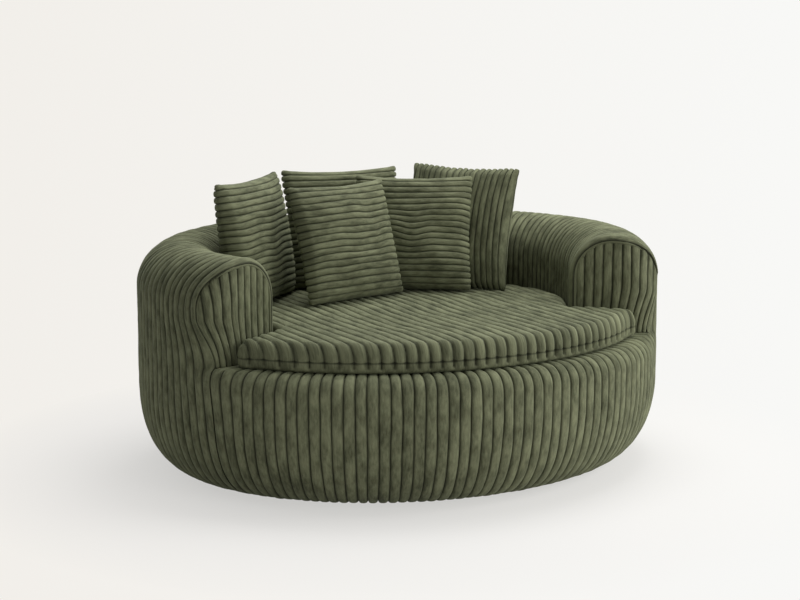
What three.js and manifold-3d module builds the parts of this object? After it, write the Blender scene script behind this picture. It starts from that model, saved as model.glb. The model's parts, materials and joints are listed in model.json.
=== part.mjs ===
// Cuddle chair: an oval upholstered drum with one C-shaped wall for both arms and the back,
// a loose ribbed seat pad and five loose ribbed pillows.
// Millimetres, +Z up, front towards -Y, origin on the floor under the middle of the oval.

import * as THREE from 'three';
import { mergeVertices } from 'three/addons/utils/BufferGeometryUtils.js';
import Module from 'manifold-3d';

const wasm = await Module();
wasm.setup();

// Oval plan and upholstered wall
const overallWidth = 1500;
const overallDepth = 1270;
const wallHeight = 648;
const wallThickness = 250;
const rollHeight = 120;
const tuckInset = 185;
const hemHeight = 12;
const armEndTurn = THREE.MathUtils.degToRad(29.7);

// Base front and deck under the pad
const deckHeight = 370;
const frontEdgeRadius = 50;
const frontStraight = 52;

// Ribbed corduroy, its backing and the foam under it
const ribPitch = 30;
const ribDepth = 8;
const clothThickness = 4;
const foamThickness = 26;
const deckFoamThickness = 22;
const deckClothThickness = 2;
const armFrontFoamThickness = 10;
const armPanelRibs = 9;

// Loose seat pad
const padThickness = 72;
const padCrown = 8;
const padFrontInset = 62;
const padTipInset = 36;
const padEarGap = 8;
const padSideGap = 2;
const padEarExtra = 6;
const padInnerRadius = 14;
const padTopRounding = 28;
const padBottomRounding = 9;
const padRibTurn = THREE.MathUtils.degToRad(7);
const padZipLength = 560;
const padZipWidth = 8;
const padZipSetback = 170;
const sliderLength = 14;
const sliderWidth = 5;
const sliderThickness = 2;

// Pillows
const largePillowSide = 362;
const smallPillowSide = 347;
const pillowThickness = 126;
const pillowSeam = 4;
const pillowPull = 12;
const pillowRibs = 9;
const pillowRibDepth = 5;
const pillowClothThickness = 2;
const pillowZipLength = 160;
const pillowZipThickness = 1.2;
const pillowSlotHeight = 20;
const pillowStandOff = 160;

// Plywood frame
const plyThickness = 18;
const basePanelSetback = 18;
const frameLedgeInset = 330;
const formerSlack = 1.5;
const bandThickness = 9;
const bandHeight = 50;
const baseBandDrop = 6;
const outerBandDrop = 8;
const innerBandDrop = 48;
const upperHoleRadius = 42;
const upperHoleDrop = 43;
const lowerHoleRadius = 62;
const lowerHoleInset = 190;

// Webbing, dust cover and glides
const strapWidth = 50;
const strapThickness = 2;
const strapOverlap = 45;
const dustCoverThickness = 1.5;
const glideRadius = 25;
const glideNeckRadius = 16;
const glideEdge = 3;
const glideFootHeight = 12;
const glideSetback = 43;
const studRadius = 4;
const studLength = 14;

// Fits
const clearance = 0.3;
const overrun = 5;
const weldDistance = 1e-3;

// Counts and shares
const wallSteps = 24;
const frontSteps = 12;
const ovalSteps = 30;
const roundSteps = 8;
const tuckSteps = 3;
const rollSteps = 4;
const edgeSteps = 2;
const earSteps = 4;
const pillowSteps = 4;
const fineSteps = 2000;
const settleSteps = 14;
const smoothEvery = 6;
const sideFoamSteps = 7;
const mitreLimit = 0.6;
const wallFormerShares = [1 / 6, 1 / 3, 1 / 2, 2 / 3, 5 / 6];
const frontFormerShares = [1 / 4, 1 / 2, 3 / 4];
const glideTurnShares = [1 / 12, 3 / 12, 5 / 12, 7 / 12, 9 / 12, 11 / 12];
const glideNames = ['back_right', 'back_middle', 'back_left', 'front_left', 'front_middle', 'front_right'];
const crossStrapShares = [-0.6, -0.2, 0.2, 0.6];
const longStrapShares = [-0.5, 0, 0.5];
const pillowThicknessPower = 0.55;
const pillowRibFade = 3;

// Middles of the pillows' bottom edges, as shares of half the width and half the depth
const pillowShares = {
  back_right: [0.316, 0.315],
  back_left: [-0.053, 0.463],
  centre: [0.129, 0.243],
  front: [-0.135, 0.13],
  far_left: [-0.488, 0.266],
};

// Each pillow's side, its turn about Z and its lean in degrees, and the pillows that it leans on
const pillows = [
  { name: 'back_right', side: largePillowSide, turn: -50.7, lean: 14.6, upright: true, behind: [] },
  { name: 'back_left', side: largePillowSide, turn: -1.7, lean: 14.8, behind: ['back_right'] },
  { name: 'centre', side: smallPillowSide, turn: -25.6, lean: 14.8, behind: ['back_right', 'back_left'] },
  { name: 'front', side: smallPillowSide, turn: 19, lean: 17, behind: ['centre', 'back_left'] },
  { name: 'far_left', side: largePillowSide, turn: 48.9, lean: 6.5, behind: ['back_left'] },
];

// Worked-out sizes
const halfWidth = overallWidth / 2;
const halfDepth = overallDepth / 2;
const widestHeight = deckHeight - frontEdgeRadius - frontStraight;
const tuckHeight = widestHeight - hemHeight;
const basePanelInset = tuckInset + basePanelSetback;
const glideInset = basePanelInset + glideSetback;
const rollBase = wallHeight - rollHeight;
const coverThickness = ribDepth + clothThickness;
const foamInset = coverThickness + clearance;
const foamInnerInset = foamInset + foamThickness;
const formerInset = foamInnerInset + formerSlack;
const basePanelBottom = hemHeight + coverThickness + clearance;
const basePanelTop = basePanelBottom + plyThickness;
const deckClothBottom = deckHeight - deckClothThickness;
const deckFoamBottom = deckClothBottom - clearance - deckFoamThickness;
const longStrapBottom = deckFoamBottom - clearance - strapThickness;
const crossStrapBottom = longStrapBottom - clearance - strapThickness;
const ringBottom = crossStrapBottom - clearance - plyThickness;
const baseBandHeight = widestHeight - baseBandDrop;
const outerBandHeight = rollBase - bandHeight - outerBandDrop;
const innerBandHeight = rollBase - bandHeight - innerBandDrop;
const upperHoleHeight = rollBase - upperHoleDrop;
const lowerHoleHeight = (basePanelTop + ringBottom) / 2;
const padBottom = deckHeight + clearance;
const padTop = padBottom + padThickness;
const padEarRadius = padTopRounding + padEarExtra;
const armEnd = -armEndTurn;
const leftArmEnd = Math.PI + armEndTurn;
const frontEnd = 2 * Math.PI + armEnd;

const green = 0x565f4b;
const looks = {
  corduroy: { color: green, roughness: 0.95, metalness: 0 },
  foam: { color: 0xe6dcb8, roughness: 0.9, metalness: 0 },
  plywood: { color: 0xc9a877, roughness: 0.7, metalness: 0 },
  webbing: { color: 0x2b2b2b, roughness: 0.9, metalness: 0 },
  lining: { color: 0x1d1d1d, roughness: 0.95, metalness: 0 },
  glide: { color: 0x151515, roughness: 0.5, metalness: 0 },
  zip: { color: 0x39402f, roughness: 0.6, metalness: 0 },
};

const chair = new THREE.Group();

function addPiece(name, geometry, look, parent = chair) {
  const mesh = new THREE.Mesh(geometry, new THREE.MeshStandardMaterial(looks[look]));
  mesh.name = name;
  parent.add(mesh);
  return mesh;
}

// Solids and booleans

function signedVolume(points, faces) {
  let total = 0;
  for (const [a, b, c] of faces) {
    total += points[a].dot(points[b].clone().cross(points[c]));
  }
  return total;
}

function closedGeometry(points, faces) {
  const flip = signedVolume(points, faces) < 0;
  const index = faces.flatMap(([a, b, c]) => (flip ? [a, c, b] : [a, b, c]));
  const geometry = new THREE.BufferGeometry();
  geometry.setFromPoints(points);
  geometry.setIndex(index);
  return geometry;
}

function toSolid(geometry) {
  let merged = geometry.clone();
  merged.deleteAttribute('normal');
  merged.deleteAttribute('uv');
  merged = mergeVertices(merged, weldDistance);
  return new wasm.Manifold(new wasm.Mesh({
    numProp: 3,
    vertProperties: new Float32Array(merged.attributes.position.array),
    triVerts: new Uint32Array(merged.index.array),
  }));
}

function toGeometry(solid) {
  const mesh = solid.getMesh();
  const geometry = new THREE.BufferGeometry();
  geometry.setAttribute('position', new THREE.BufferAttribute(new Float32Array(mesh.vertProperties), 3));
  geometry.setIndex(new THREE.BufferAttribute(new Uint32Array(mesh.triVerts), 1));
  return geometry;
}

function cut(geometry, ...tools) {
  let solid = toSolid(geometry);
  for (const tool of tools) solid = solid.subtract(toSolid(tool));
  return toGeometry(solid);
}

function common(first, second) {
  return toGeometry(toSolid(first).intersect(toSolid(second)));
}

// Triangles of a flat outline, wound in the order in which its points are listed
function fillOutline(outline) {
  const contour = outline.map(([x, y]) => new THREE.Vector2(x, y));
  const faces = THREE.ShapeUtils.triangulateShape(contour, []);
  return THREE.ShapeUtils.isClockWise(contour) ? faces.map(([a, b, c]) => [a, c, b]) : faces;
}

// Rings of equal point counts joined one after another, closed by the first and last ring
function loft(rings, capOutlines) {
  const size = rings[0].length;
  const faces = [];
  for (let i = 0; i + 1 < rings.length; i += 1) {
    for (let j = 0; j < size; j += 1) {
      const k = (j + 1) % size;
      faces.push([i * size + j, (i + 1) * size + j, (i + 1) * size + k]);
      faces.push([i * size + j, (i + 1) * size + k, i * size + k]);
    }
  }
  const last = (rings.length - 1) * size;
  for (const [a, b, c] of fillOutline(capOutlines[0])) faces.push([a, b, c]);
  for (const [a, b, c] of fillOutline(capOutlines[1])) faces.push([last + a, last + c, last + b]);
  return closedGeometry(rings.flat(), faces);
}

function extrudeUp(outline, bottom, top, holes = []) {
  const shape = new THREE.Shape(outline.map(([x, y]) => new THREE.Vector2(x, y)));
  for (const hole of holes) shape.holes.push(new THREE.Path(hole.map(([x, y]) => new THREE.Vector2(x, y))));
  const geometry = new THREE.ExtrudeGeometry(shape, { depth: top - bottom, bevelEnabled: false });
  return geometry.translate(0, 0, bottom);
}

function box(sizeX, sizeY, sizeZ, x, y, z) {
  return new THREE.BoxGeometry(sizeX, sizeY, sizeZ).translate(x, y, z);
}

// The oval plan

function planNormal(turn) {
  const normal = new THREE.Vector2(Math.cos(turn) / halfWidth, Math.sin(turn) / halfDepth);
  return normal.normalize();
}

function planPoint(turn, inset = 0) {
  const normal = planNormal(turn);
  return [halfWidth * Math.cos(turn) - inset * normal.x, halfDepth * Math.sin(turn) - inset * normal.y];
}

function planSpeed(turn) {
  return Math.hypot(halfWidth * Math.sin(turn), halfDepth * Math.cos(turn));
}

// The turn that lies a distance further along the oval, or along its line at an inset
function stepAlong(turn, distance, inset = 0) {
  const bend = (halfWidth * halfDepth) / planSpeed(turn) ** 3;
  return turn + distance / (planSpeed(turn) * (1 - inset * bend));
}

// Lengths along the oval's edge, summed in fine steps from one turn to another
function planLengths(from, to) {
  const step = (to - from) / fineSteps;
  const lengths = [0];
  for (let i = 0; i < fineSteps; i += 1) {
    lengths.push(lengths[i] + planSpeed(from + step * (i + 0.5)) * Math.abs(step));
  }
  return lengths;
}

function planLength(from, to) {
  return planLengths(from, to).pop();
}

// Turns from one to another, spaced evenly along the oval's edge
function evenTurns(from, to, count) {
  const lengths = planLengths(from, to);
  const turns = [];
  let i = 0;
  for (let k = 0; k <= count; k += 1) {
    const wanted = (lengths[fineSteps] * k) / count;
    while (i + 1 < fineSteps && lengths[i + 1] < wanted) i += 1;
    const share = (wanted - lengths[i]) / (lengths[i + 1] - lengths[i]);
    turns.push(from + ((to - from) * (i + share)) / fineSteps);
  }
  return turns;
}

function ovalOutline(inset) {
  return evenTurns(0, 2 * Math.PI, ovalSteps).slice(0, -1).map((turn) => planPoint(turn, inset));
}

// A closed section of [inset, height] points carried along the oval
function sweep(turns, sectionAt) {
  const sections = turns.map((turn, i) => sectionAt(i));
  const rings = sections.map((section, i) => section.map(([inset, height]) => {
    const [x, y] = planPoint(turns[i], inset);
    return new THREE.Vector3(x, y, height);
  }));
  return loft(rings, [sections[0], sections[sections.length - 1]]);
}

function sweepRing(turns, section) {
  const size = section.length;
  const points = turns.flatMap((turn) => section.map(([inset, height]) => {
    const [x, y] = planPoint(turn, inset);
    return new THREE.Vector3(x, y, height);
  }));
  const faces = [];
  for (let i = 0; i < turns.length; i += 1) {
    const next = (i + 1) % turns.length;
    for (let j = 0; j < size; j += 1) {
      const k = (j + 1) % size;
      faces.push([i * size + j, next * size + j, next * size + k]);
      faces.push([i * size + j, next * size + k, i * size + k]);
    }
  }
  return closedGeometry(points, faces);
}

// Sections through the upholstery, as [inset from the oval, height]

function tuckPoints(inset) {
  const points = [];
  for (let i = 0; i <= tuckSteps; i += 1) {
    const q = (Math.PI / 2) * (i / tuckSteps);
    points.push([
      tuckInset - (tuckInset - inset) * Math.sin(q),
      widestHeight - (tuckHeight - inset) * Math.cos(q),
    ]);
  }
  return points;
}

function rollPoints(inset) {
  const middle = wallThickness / 2;
  const points = [];
  for (let i = 0; i <= rollSteps; i += 1) {
    const a = (Math.PI * i) / rollSteps;
    points.push([middle - (middle - inset) * Math.cos(a), rollBase + (rollHeight - inset) * Math.sin(a)]);
  }
  return points;
}

function frontEdgePoints(inset) {
  const radius = frontEdgeRadius;
  const points = [];
  for (let i = 0; i <= edgeSteps; i += 1) {
    const a = (Math.PI / 2) * (i / edgeSteps);
    const height = deckHeight - radius + (radius - inset) * Math.sin(a);
    points.push([radius - (radius - inset) * Math.cos(a), height]);
  }
  return points;
}

const flangeEnd = wallThickness - foamInnerInset;

// What stands on the base panel is cut off flat there
function standOnBase(geometry) {
  const height = wallHeight + overrun;
  const bottom = basePanelTop + clearance;
  return common(geometry, box(overallWidth, overallDepth, height, 0, 0, bottom + height / 2));
}

// Everything inside the wall's ribbed face, down to the hem and the deck
function wallOuterSection(inset) {
  return [
    ...tuckPoints(inset),
    ...rollPoints(inset),
    [wallThickness - inset, deckHeight + clearance],
    [tuckInset, deckHeight + clearance],
  ];
}

function wallInnerSection() {
  return [
    [wallThickness - coverThickness, hemHeight + coverThickness],
    ...tuckPoints(coverThickness),
    ...rollPoints(coverThickness),
  ];
}

function wallFoamSection() {
  return [
    ...tuckPoints(foamInset),
    ...rollPoints(foamInset),
    [wallThickness - foamInset, deckHeight],
    [wallThickness - foamInnerInset, deckHeight],
    ...rollPoints(foamInnerInset).reverse(),
    ...tuckPoints(foamInnerInset).reverse(),
  ];
}

function frontOuterSection(inset) {
  return [
    ...tuckPoints(inset),
    ...frontEdgePoints(inset),
    [tuckInset, deckHeight - inset],
  ];
}

function frontInnerSection() {
  const bottom = hemHeight + coverThickness;
  return [
    [tuckInset + overrun, bottom],
    ...tuckPoints(coverThickness),
    ...frontEdgePoints(coverThickness),
    [tuckInset + overrun, deckHeight - coverThickness],
  ];
}

function frontFoamSection() {
  const top = deckHeight - foamInset;
  return [
    ...tuckPoints(foamInset),
    ...frontEdgePoints(foamInset),
    [flangeEnd, top],
    [flangeEnd, deckFoamBottom],
    [foamInnerInset, deckFoamBottom],
    ...tuckPoints(foamInnerInset).reverse(),
  ];
}

// Alternating valleys and peaks of the ribs along a stretch of the oval
function ribTurns(from, to) {
  const ribs = Math.round(planLength(from, to) / ribPitch);
  return evenTurns(from, to, 2 * ribs);
}

function ribInset(i) {
  return i % 2 === 0 ? ribDepth : 0;
}

const wallTurns = evenTurns(armEnd, leftArmEnd, wallSteps);
const frontStart = stepAlong(leftArmEnd, clearance);
const seamedFrontTurns = evenTurns(frontStart, stepAlong(frontEnd, -clearance), frontSteps);

// Covers of the fixed upholstery

function wallCover() {
  const turns = ribTurns(armEnd, leftArmEnd);
  const outer = sweep(turns, (i) => wallOuterSection(ribInset(i)));
  const longTurns = [stepAlong(armEnd, -overrun), ...wallTurns, stepAlong(leftArmEnd, overrun)];
  return cut(outer, sweep(longTurns, () => wallInnerSection()));
}

function frontCover() {
  const turns = ribTurns(seamedFrontTurns[0], seamedFrontTurns[frontSteps]);
  const outer = sweep(turns, (i) => frontOuterSection(ribInset(i)));
  const longTurns = [
    stepAlong(leftArmEnd, -overrun),
    ...seamedFrontTurns,
    stepAlong(frontEnd, overrun),
  ];
  return cut(outer, sweep(longTurns, () => frontInnerSection()));
}

function armEndFrame(side) {
  const turn = side > 0 ? armEnd : leftArmEnd;
  const normal = planNormal(turn);
  const [x, y] = planPoint(turn);
  const inward = new THREE.Vector3(-normal.x, -normal.y, 0);
  const forward = new THREE.Vector3(side * normal.y, -side * normal.x, 0);
  return { origin: new THREE.Vector3(x, y, 0), inward, forward };
}

// A flat outline of [inset, height] points at an arm's end, from one distance ahead of it to another
function endPlate(side, outline, from, to) {
  const { origin, inward, forward } = armEndFrame(side);
  const rings = [from, to].map((ahead) => outline.map(([inset, height]) => origin.clone()
    .addScaledVector(inward, inset)
    .addScaledVector(forward, ahead)
    .setZ(height)));
  return loft(rings, [outline, outline]);
}

function archOutline(inset, bottom) {
  return [[inset, bottom], ...rollPoints(inset), [wallThickness - inset, bottom]];
}

function frontTopSpace() {
  const turns = ribTurns(stepAlong(leftArmEnd, -foamThickness), stepAlong(frontEnd, foamThickness));
  const section = [
    [-overrun, 0],
    ...frontEdgePoints(-clearance),
    [wallThickness + foamThickness, deckHeight + clearance],
    [wallThickness + foamThickness, 0],
  ];
  return sweep(turns, () => section);
}

function armFrontCover(side) {
  const margin = clothThickness;
  const bottom = deckHeight - frontEdgeRadius;
  const arch = endPlate(side, archOutline(margin, bottom), clearance, clearance + coverThickness);
  const { origin, inward, forward } = armEndFrame(side);
  const width = wallThickness - 2 * margin;
  const face = [];
  for (let i = 0; i <= 2 * armPanelRibs; i += 1) {
    const ahead = clearance + coverThickness - (i % 2 === 0 ? ribDepth : 0);
    face.push([margin + (width * i) / (2 * armPanelRibs), ahead]);
  }
  const strip = [[margin, 0], ...face, [wallThickness - margin, 0]];
  const rings = [bottom - overrun, wallHeight].map((height) => strip.map(([inset, ahead]) => origin.clone()
    .addScaledVector(inward, inset)
    .addScaledVector(forward, ahead)
    .setZ(height)));
  return cut(common(arch, loft(rings, [strip, strip])), frontTopSpace());
}

// Foam

function foamStretch(turns, section) {
  const seamed = [...turns];
  seamed[0] = stepAlong(turns[0], clearance);
  seamed[turns.length - 1] = stepAlong(turns[turns.length - 1], -clearance);
  return standOnBase(sweep(seamed, () => section));
}

function wallFoams() {
  const section = wallFoamSection();
  return {
    wall_foam_right: foamStretch(wallTurns.slice(0, sideFoamSteps + 1), section),
    wall_foam_back: foamStretch(wallTurns.slice(sideFoamSteps, wallSteps - sideFoamSteps + 1), section),
    wall_foam_left: foamStretch(wallTurns.slice(wallSteps - sideFoamSteps), section),
  };
}

function armFrontFoam(side) {
  const outline = archOutline(formerInset, deckHeight + clearance);
  return endPlate(side, outline, -clearance - armFrontFoamThickness, -clearance);
}

// Plywood frame

const bandTurns = [...wallTurns, ...seamedFrontTurns.slice(1, -1)];

function bandSection(inset, bottom, grow = 0) {
  return [
    [inset - grow, bottom - grow],
    [inset + bandThickness + grow, bottom - grow],
    [inset + bandThickness + grow, bottom + bandHeight + grow],
    [inset - grow, bottom + bandHeight + grow],
  ];
}

const innerBandInset = wallThickness - formerInset - bandThickness;
const endFormerFront = armFrontFoamThickness + 3 * clearance;

// The bands start inside the arm end formers, behind the foam on the arms' fronts
function openBandTurns(inset) {
  const first = stepAlong(armEnd, endFormerFront, inset + bandThickness);
  const last = stepAlong(leftArmEnd, -endFormerFront, inset + bandThickness);
  return [first, ...wallTurns.slice(1, -1), last];
}

function baseBand(grow = 0) {
  return sweepRing(bandTurns, bandSection(formerInset, baseBandHeight, grow));
}

function outerBand(grow = 0) {
  return sweep(openBandTurns(formerInset), () => bandSection(formerInset, outerBandHeight, grow));
}

function innerBand(grow = 0) {
  return sweep(openBandTurns(innerBandInset), () => bandSection(innerBandInset, innerBandHeight, grow));
}

function roundOutline(x, y, radius) {
  const points = [];
  for (let i = 0; i < roundSteps; i += 1) {
    const a = (2 * Math.PI * i) / roundSteps;
    points.push([x + radius * Math.cos(a), y + radius * Math.sin(a)]);
  }
  return points;
}

// A flat plywood plate that stands across the wall, with its outline in [inset, height]
function formerPlate(turn, outline, holes) {
  const shape = new THREE.Shape(outline.map(([x, y]) => new THREE.Vector2(x, y)));
  for (const hole of holes) shape.holes.push(new THREE.Path(hole.map(([x, y]) => new THREE.Vector2(x, y))));
  const geometry = new THREE.ExtrudeGeometry(shape, { depth: plyThickness, bevelEnabled: false });
  geometry.translate(0, 0, -plyThickness / 2);
  const normal = planNormal(turn);
  const [x, y] = planPoint(turn);
  const inward = new THREE.Vector3(-normal.x, -normal.y, 0);
  const up = new THREE.Vector3(0, 0, 1);
  const across = inward.clone().cross(up);
  geometry.applyMatrix4(new THREE.Matrix4().makeBasis(inward, up, across).setPosition(x, y, 0));
  return geometry;
}

function wallFormerOutline(inset) {
  return [
    ...tuckPoints(inset),
    ...rollPoints(inset),
    [wallThickness - inset, ringBottom - clearance],
    [frameLedgeInset, ringBottom - clearance],
    [frameLedgeInset, hemHeight],
  ];
}

function frontFormerOutline() {
  return [
    ...tuckPoints(formerInset),
    [formerInset, ringBottom - clearance],
    [frameLedgeInset, ringBottom - clearance],
    [frameLedgeInset, hemHeight],
  ];
}

const lowerHole = roundOutline(lowerHoleInset, lowerHoleHeight, lowerHoleRadius);
const upperHole = roundOutline(wallThickness / 2, upperHoleHeight, upperHoleRadius);

function notchForBands(plate) {
  return cut(standOnBase(plate), baseBand(clearance), outerBand(clearance), innerBand(clearance));
}

function wallFormer(turn) {
  return notchForBands(formerPlate(turn, wallFormerOutline(formerInset), [lowerHole, upperHole]));
}

// The former at an arm's end is parallel to the arm's front
function armEndFormer(side) {
  const back = -endFormerFront - plyThickness;
  const outline = wallFormerOutline(formerInset);
  const inFoam = sweep(wallTurns, () => outline);
  const holes = [lowerHole, upperHole].map((hole) => endPlate(side, hole, back - overrun, -clearance));
  return notchForBands(cut(common(endPlate(side, outline, back, -endFormerFront), inFoam), ...holes));
}

function frontFormer(turn) {
  return cut(standOnBase(formerPlate(turn, frontFormerOutline(), [lowerHole])), baseBand(clearance));
}

// A faceted hole that clears a faceted pin of this radius, whichever way their flats lie
function clearRadius(radius) {
  return radius / Math.cos(Math.PI / roundSteps) + clearance;
}

function basePanel() {
  const holes = glideTurnShares.map((share) => {
    const [x, y] = planPoint(2 * Math.PI * share, glideInset);
    return roundOutline(x, y, clearRadius(studRadius));
  });
  return extrudeUp(ovalOutline(basePanelInset), basePanelBottom, basePanelTop, holes);
}

// The oval plywood ring on the formers' ledges: wide at the front, narrow inside the wall
function deckRing() {
  const besideWall = wallThickness - formerInset + clearance;
  const outline = [
    ...wallTurns.map((turn) => planPoint(turn, besideWall)),
    ...seamedFrontTurns.slice(1, -1).map((turn) => planPoint(turn, foamInnerInset + formerSlack)),
  ];
  const hole = ovalOutline(frameLedgeInset);
  return extrudeUp(outline, ringBottom, ringBottom + plyThickness, [hole]);
}

function strap(lengthwise, share, bottom) {
  const halfOpenWidth = halfWidth - frameLedgeInset;
  const halfOpenDepth = halfDepth - frameLedgeInset;
  if (lengthwise) {
    const y = share * halfOpenDepth;
    const half = halfOpenWidth * Math.sqrt(1 - share * share) + strapOverlap;
    return box(2 * half, strapWidth, strapThickness, 0, y, bottom + strapThickness / 2);
  }
  const x = share * halfOpenWidth;
  const half = halfOpenDepth * Math.sqrt(1 - share * share) + strapOverlap;
  return box(strapWidth, 2 * half, strapThickness, x, 0, bottom + strapThickness / 2);
}

function dustCover() {
  const holes = glideTurnShares.map((share) => {
    const [x, y] = planPoint(2 * Math.PI * share, glideInset);
    return roundOutline(x, y, clearRadius(glideNeckRadius));
  });
  const top = basePanelBottom - clearance;
  return extrudeUp(ovalOutline(basePanelInset), top - dustCoverThickness, top, holes);
}

// Foot, neck and threaded stud turned about one axis
function glideGeometry() {
  const neckTop = basePanelBottom - clearance;
  const profile = [
    [0, 0],
    [glideRadius - glideEdge, 0],
    [glideRadius, glideEdge],
    [glideRadius, glideFootHeight],
    [glideNeckRadius, glideFootHeight],
    [glideNeckRadius, neckTop],
    [studRadius, neckTop],
    [studRadius, neckTop + studLength],
    [0, neckTop + studLength],
  ];
  const geometry = new THREE.LatheGeometry(profile.map(([r, z]) => new THREE.Vector2(r, z)), roundSteps);
  return geometry.rotateX(Math.PI / 2);
}

// Seat pad

// Rounds a corner of an outline with an arc that touches both sides
function roundCorner(before, corner, after, radius, steps) {
  const toBefore = new THREE.Vector2(before[0] - corner[0], before[1] - corner[1]).normalize();
  const toAfter = new THREE.Vector2(after[0] - corner[0], after[1] - corner[1]).normalize();
  const half = Math.acos(toBefore.dot(toAfter)) / 2;
  const bisector = toBefore.clone().add(toAfter).normalize();
  const centre = bisector.clone().multiplyScalar(radius / Math.sin(half));
  const start = toBefore.clone().multiplyScalar(radius / Math.tan(half)).sub(centre);
  const end = toAfter.clone().multiplyScalar(radius / Math.tan(half)).sub(centre);
  const points = [];
  for (let i = 0; i <= steps; i += 1) {
    const share = i / steps;
    const arm = start.clone().multiplyScalar(Math.sin((1 - share) * (Math.PI - 2 * half)))
      .addScaledVector(end, Math.sin(share * (Math.PI - 2 * half)))
      .divideScalar(Math.sin(Math.PI - 2 * half));
    points.push([corner[0] + centre.x + arm.x, corner[1] + centre.y + arm.y]);
  }
  return points;
}

const ribAcross = new THREE.Vector2(Math.cos(padRibTurn), Math.sin(padRibTurn));

function acrossRibs([x, y]) {
  return x * ribAcross.x + y * ribAcross.y;
}

// The pad's plan, listed from the right ear along the wall to the left ear and back along the front
function padOutline() {
  const ahead = clearance + coverThickness + padEarGap;
  const ear = [1, -1].map((side) => {
    const { origin, inward, forward } = armEndFrame(side);
    const at = (inset) => {
      const point = origin.clone().addScaledVector(inward, inset).addScaledVector(forward, ahead);
      return [point.x, point.y];
    };
    return { tip: at(padTipInset), neck: at(wallThickness + padSideGap) };
  });
  const start = stepAlong(armEnd, padInnerRadius);
  const wallSide = evenTurns(start, stepAlong(leftArmEnd, -padInnerRadius), wallSteps / 2)
    .map((turn) => planPoint(turn, wallThickness + padSideGap));
  const front = frontRibPoints();
  const last = wallSide.length - 1;
  const tipRight = roundCorner(front[front.length - 1], ear[0].tip, ear[0].neck, padEarRadius, earSteps);
  const neckRight = roundCorner(ear[0].tip, ear[0].neck, wallSide[0], padInnerRadius, edgeSteps);
  const neckLeft = roundCorner(wallSide[last], ear[1].neck, ear[1].tip, padInnerRadius, edgeSteps);
  const tipLeft = roundCorner(ear[1].neck, ear[1].tip, front[0], padEarRadius, earSteps);
  return [...tipRight, ...neckRight, ...wallSide, ...neckLeft, ...tipLeft, ...front];
}

// Points of the pad's front edge, one in each valley and on each peak of its ribs
function frontRibPoints() {
  const margin = 3 * padEarRadius;
  const from = stepAlong(leftArmEnd, margin);
  const to = stepAlong(frontEnd, -margin);
  const steps = evenTurns(from, to, fineSteps);
  const points = [];
  let previous = Math.floor(acrossRibs(planPoint(steps[0], padFrontInset)) / (ribPitch / 2));
  for (const turn of steps) {
    const half = Math.floor(acrossRibs(planPoint(turn, padFrontInset)) / (ribPitch / 2));
    if (half !== previous) {
      points.push(planPoint(turn, padFrontInset + (half % 2 === 0 ? ribDepth / 2 : 0)));
      previous = half;
    }
  }
  return points;
}

function insetOutline(outline, inset) {
  const count = outline.length;
  return outline.map((point, i) => {
    const before = outline[(i + count - 1) % count];
    const after = outline[(i + 1) % count];
    const first = new THREE.Vector2(point[1] - before[1], before[0] - point[0]).normalize();
    const second = new THREE.Vector2(after[1] - point[1], point[0] - after[0]).normalize();
    const normal = first.clone().add(second).normalize();
    const reach = inset / Math.max(mitreLimit, normal.dot(first));
    return [point[0] - normal.x * reach, point[1] - normal.y * reach];
  });
}

function padBody(outline, bottom, top, topRounding, bottomRounding) {
  const levels = [
    [bottomRounding, bottom],
    [0, bottom + bottomRounding],
    [0, top - topRounding],
    [topRounding, top],
  ];
  const outlines = levels.map(([inset]) => insetOutline(outline, inset));
  const rings = outlines.map((points, i) => points.map(([x, y]) => new THREE.Vector3(x, y, levels[i][1])));
  return loft(rings, [outlines[0], outlines[outlines.length - 1]]);
}

// A slab with the ribs on top, arched by the crown and carried along the ribs
function ribSlab() {
  const halfRibs = Math.ceil(halfWidth / ribPitch);
  const length = overallDepth;
  const profile = [];
  for (let i = -2 * halfRibs; i <= 2 * halfRibs; i += 1) {
    const across = (i * ribPitch) / 2;
    const crown = padCrown * (1 - (across / halfWidth) ** 2);
    profile.push([across, padTop + crown - (i % 2 === 0 ? ribDepth : 0)]);
  }
  const reach = halfRibs * ribPitch;
  const section = [...profile, [reach, padBottom - overrun], [-reach, padBottom - overrun]];
  const rings = [-length, length].map((along) => section.map(([across, height]) => new THREE.Vector3(
    across * ribAcross.x - along * ribAcross.y,
    across * ribAcross.y + along * ribAcross.x,
    height,
  )));
  return loft(rings, [section, section]);
}

const padPlan = padOutline();
const padFoamPlan = insetOutline(padOutlineSmooth(), coverThickness + clearance);

// The same plan without the ribs along its front edge
function padOutlineSmooth() {
  return padPlan.filter((point, i) => i < padPlan.length - frontRibPoints().length || i % smoothEvery === 0);
}

function padRibbed() {
  return common(padBody(padPlan, padBottom, padTop + padCrown, padTopRounding, padBottomRounding), ribSlab());
}

function padFoamBody(grow) {
  const bottom = padBottom + clothThickness + clearance - grow;
  const top = padTop - ribDepth - clothThickness - clearance + grow;
  return padBody(insetOutline(padFoamPlan, -grow), bottom, top, padTopRounding / 2, padBottomRounding / 2);
}

const padZipY = planPoint(Math.PI / 2, wallThickness)[1] - padZipSetback;

function padZipSlot(grow) {
  const height = clothThickness + 2 * grow;
  const z = padBottom + clothThickness / 2;
  return box(padZipLength + 2 * grow, padZipWidth + 2 * grow, height, 0, padZipY, z);
}

function padCover() {
  return cut(padRibbed(), padFoamBody(clearance), padZipSlot(clearance));
}

function padZipTape() {
  const tape = clothThickness - sliderThickness - 2 * clearance;
  return box(padZipLength, padZipWidth, tape, 0, padZipY, padBottom + clothThickness - tape / 2);
}

function padZipSlider() {
  const x = -(padZipLength - sliderLength) / 2;
  const z = padBottom + clearance + sliderThickness / 2;
  return box(sliderLength, sliderWidth, sliderThickness, x, padZipY, z);
}

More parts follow.
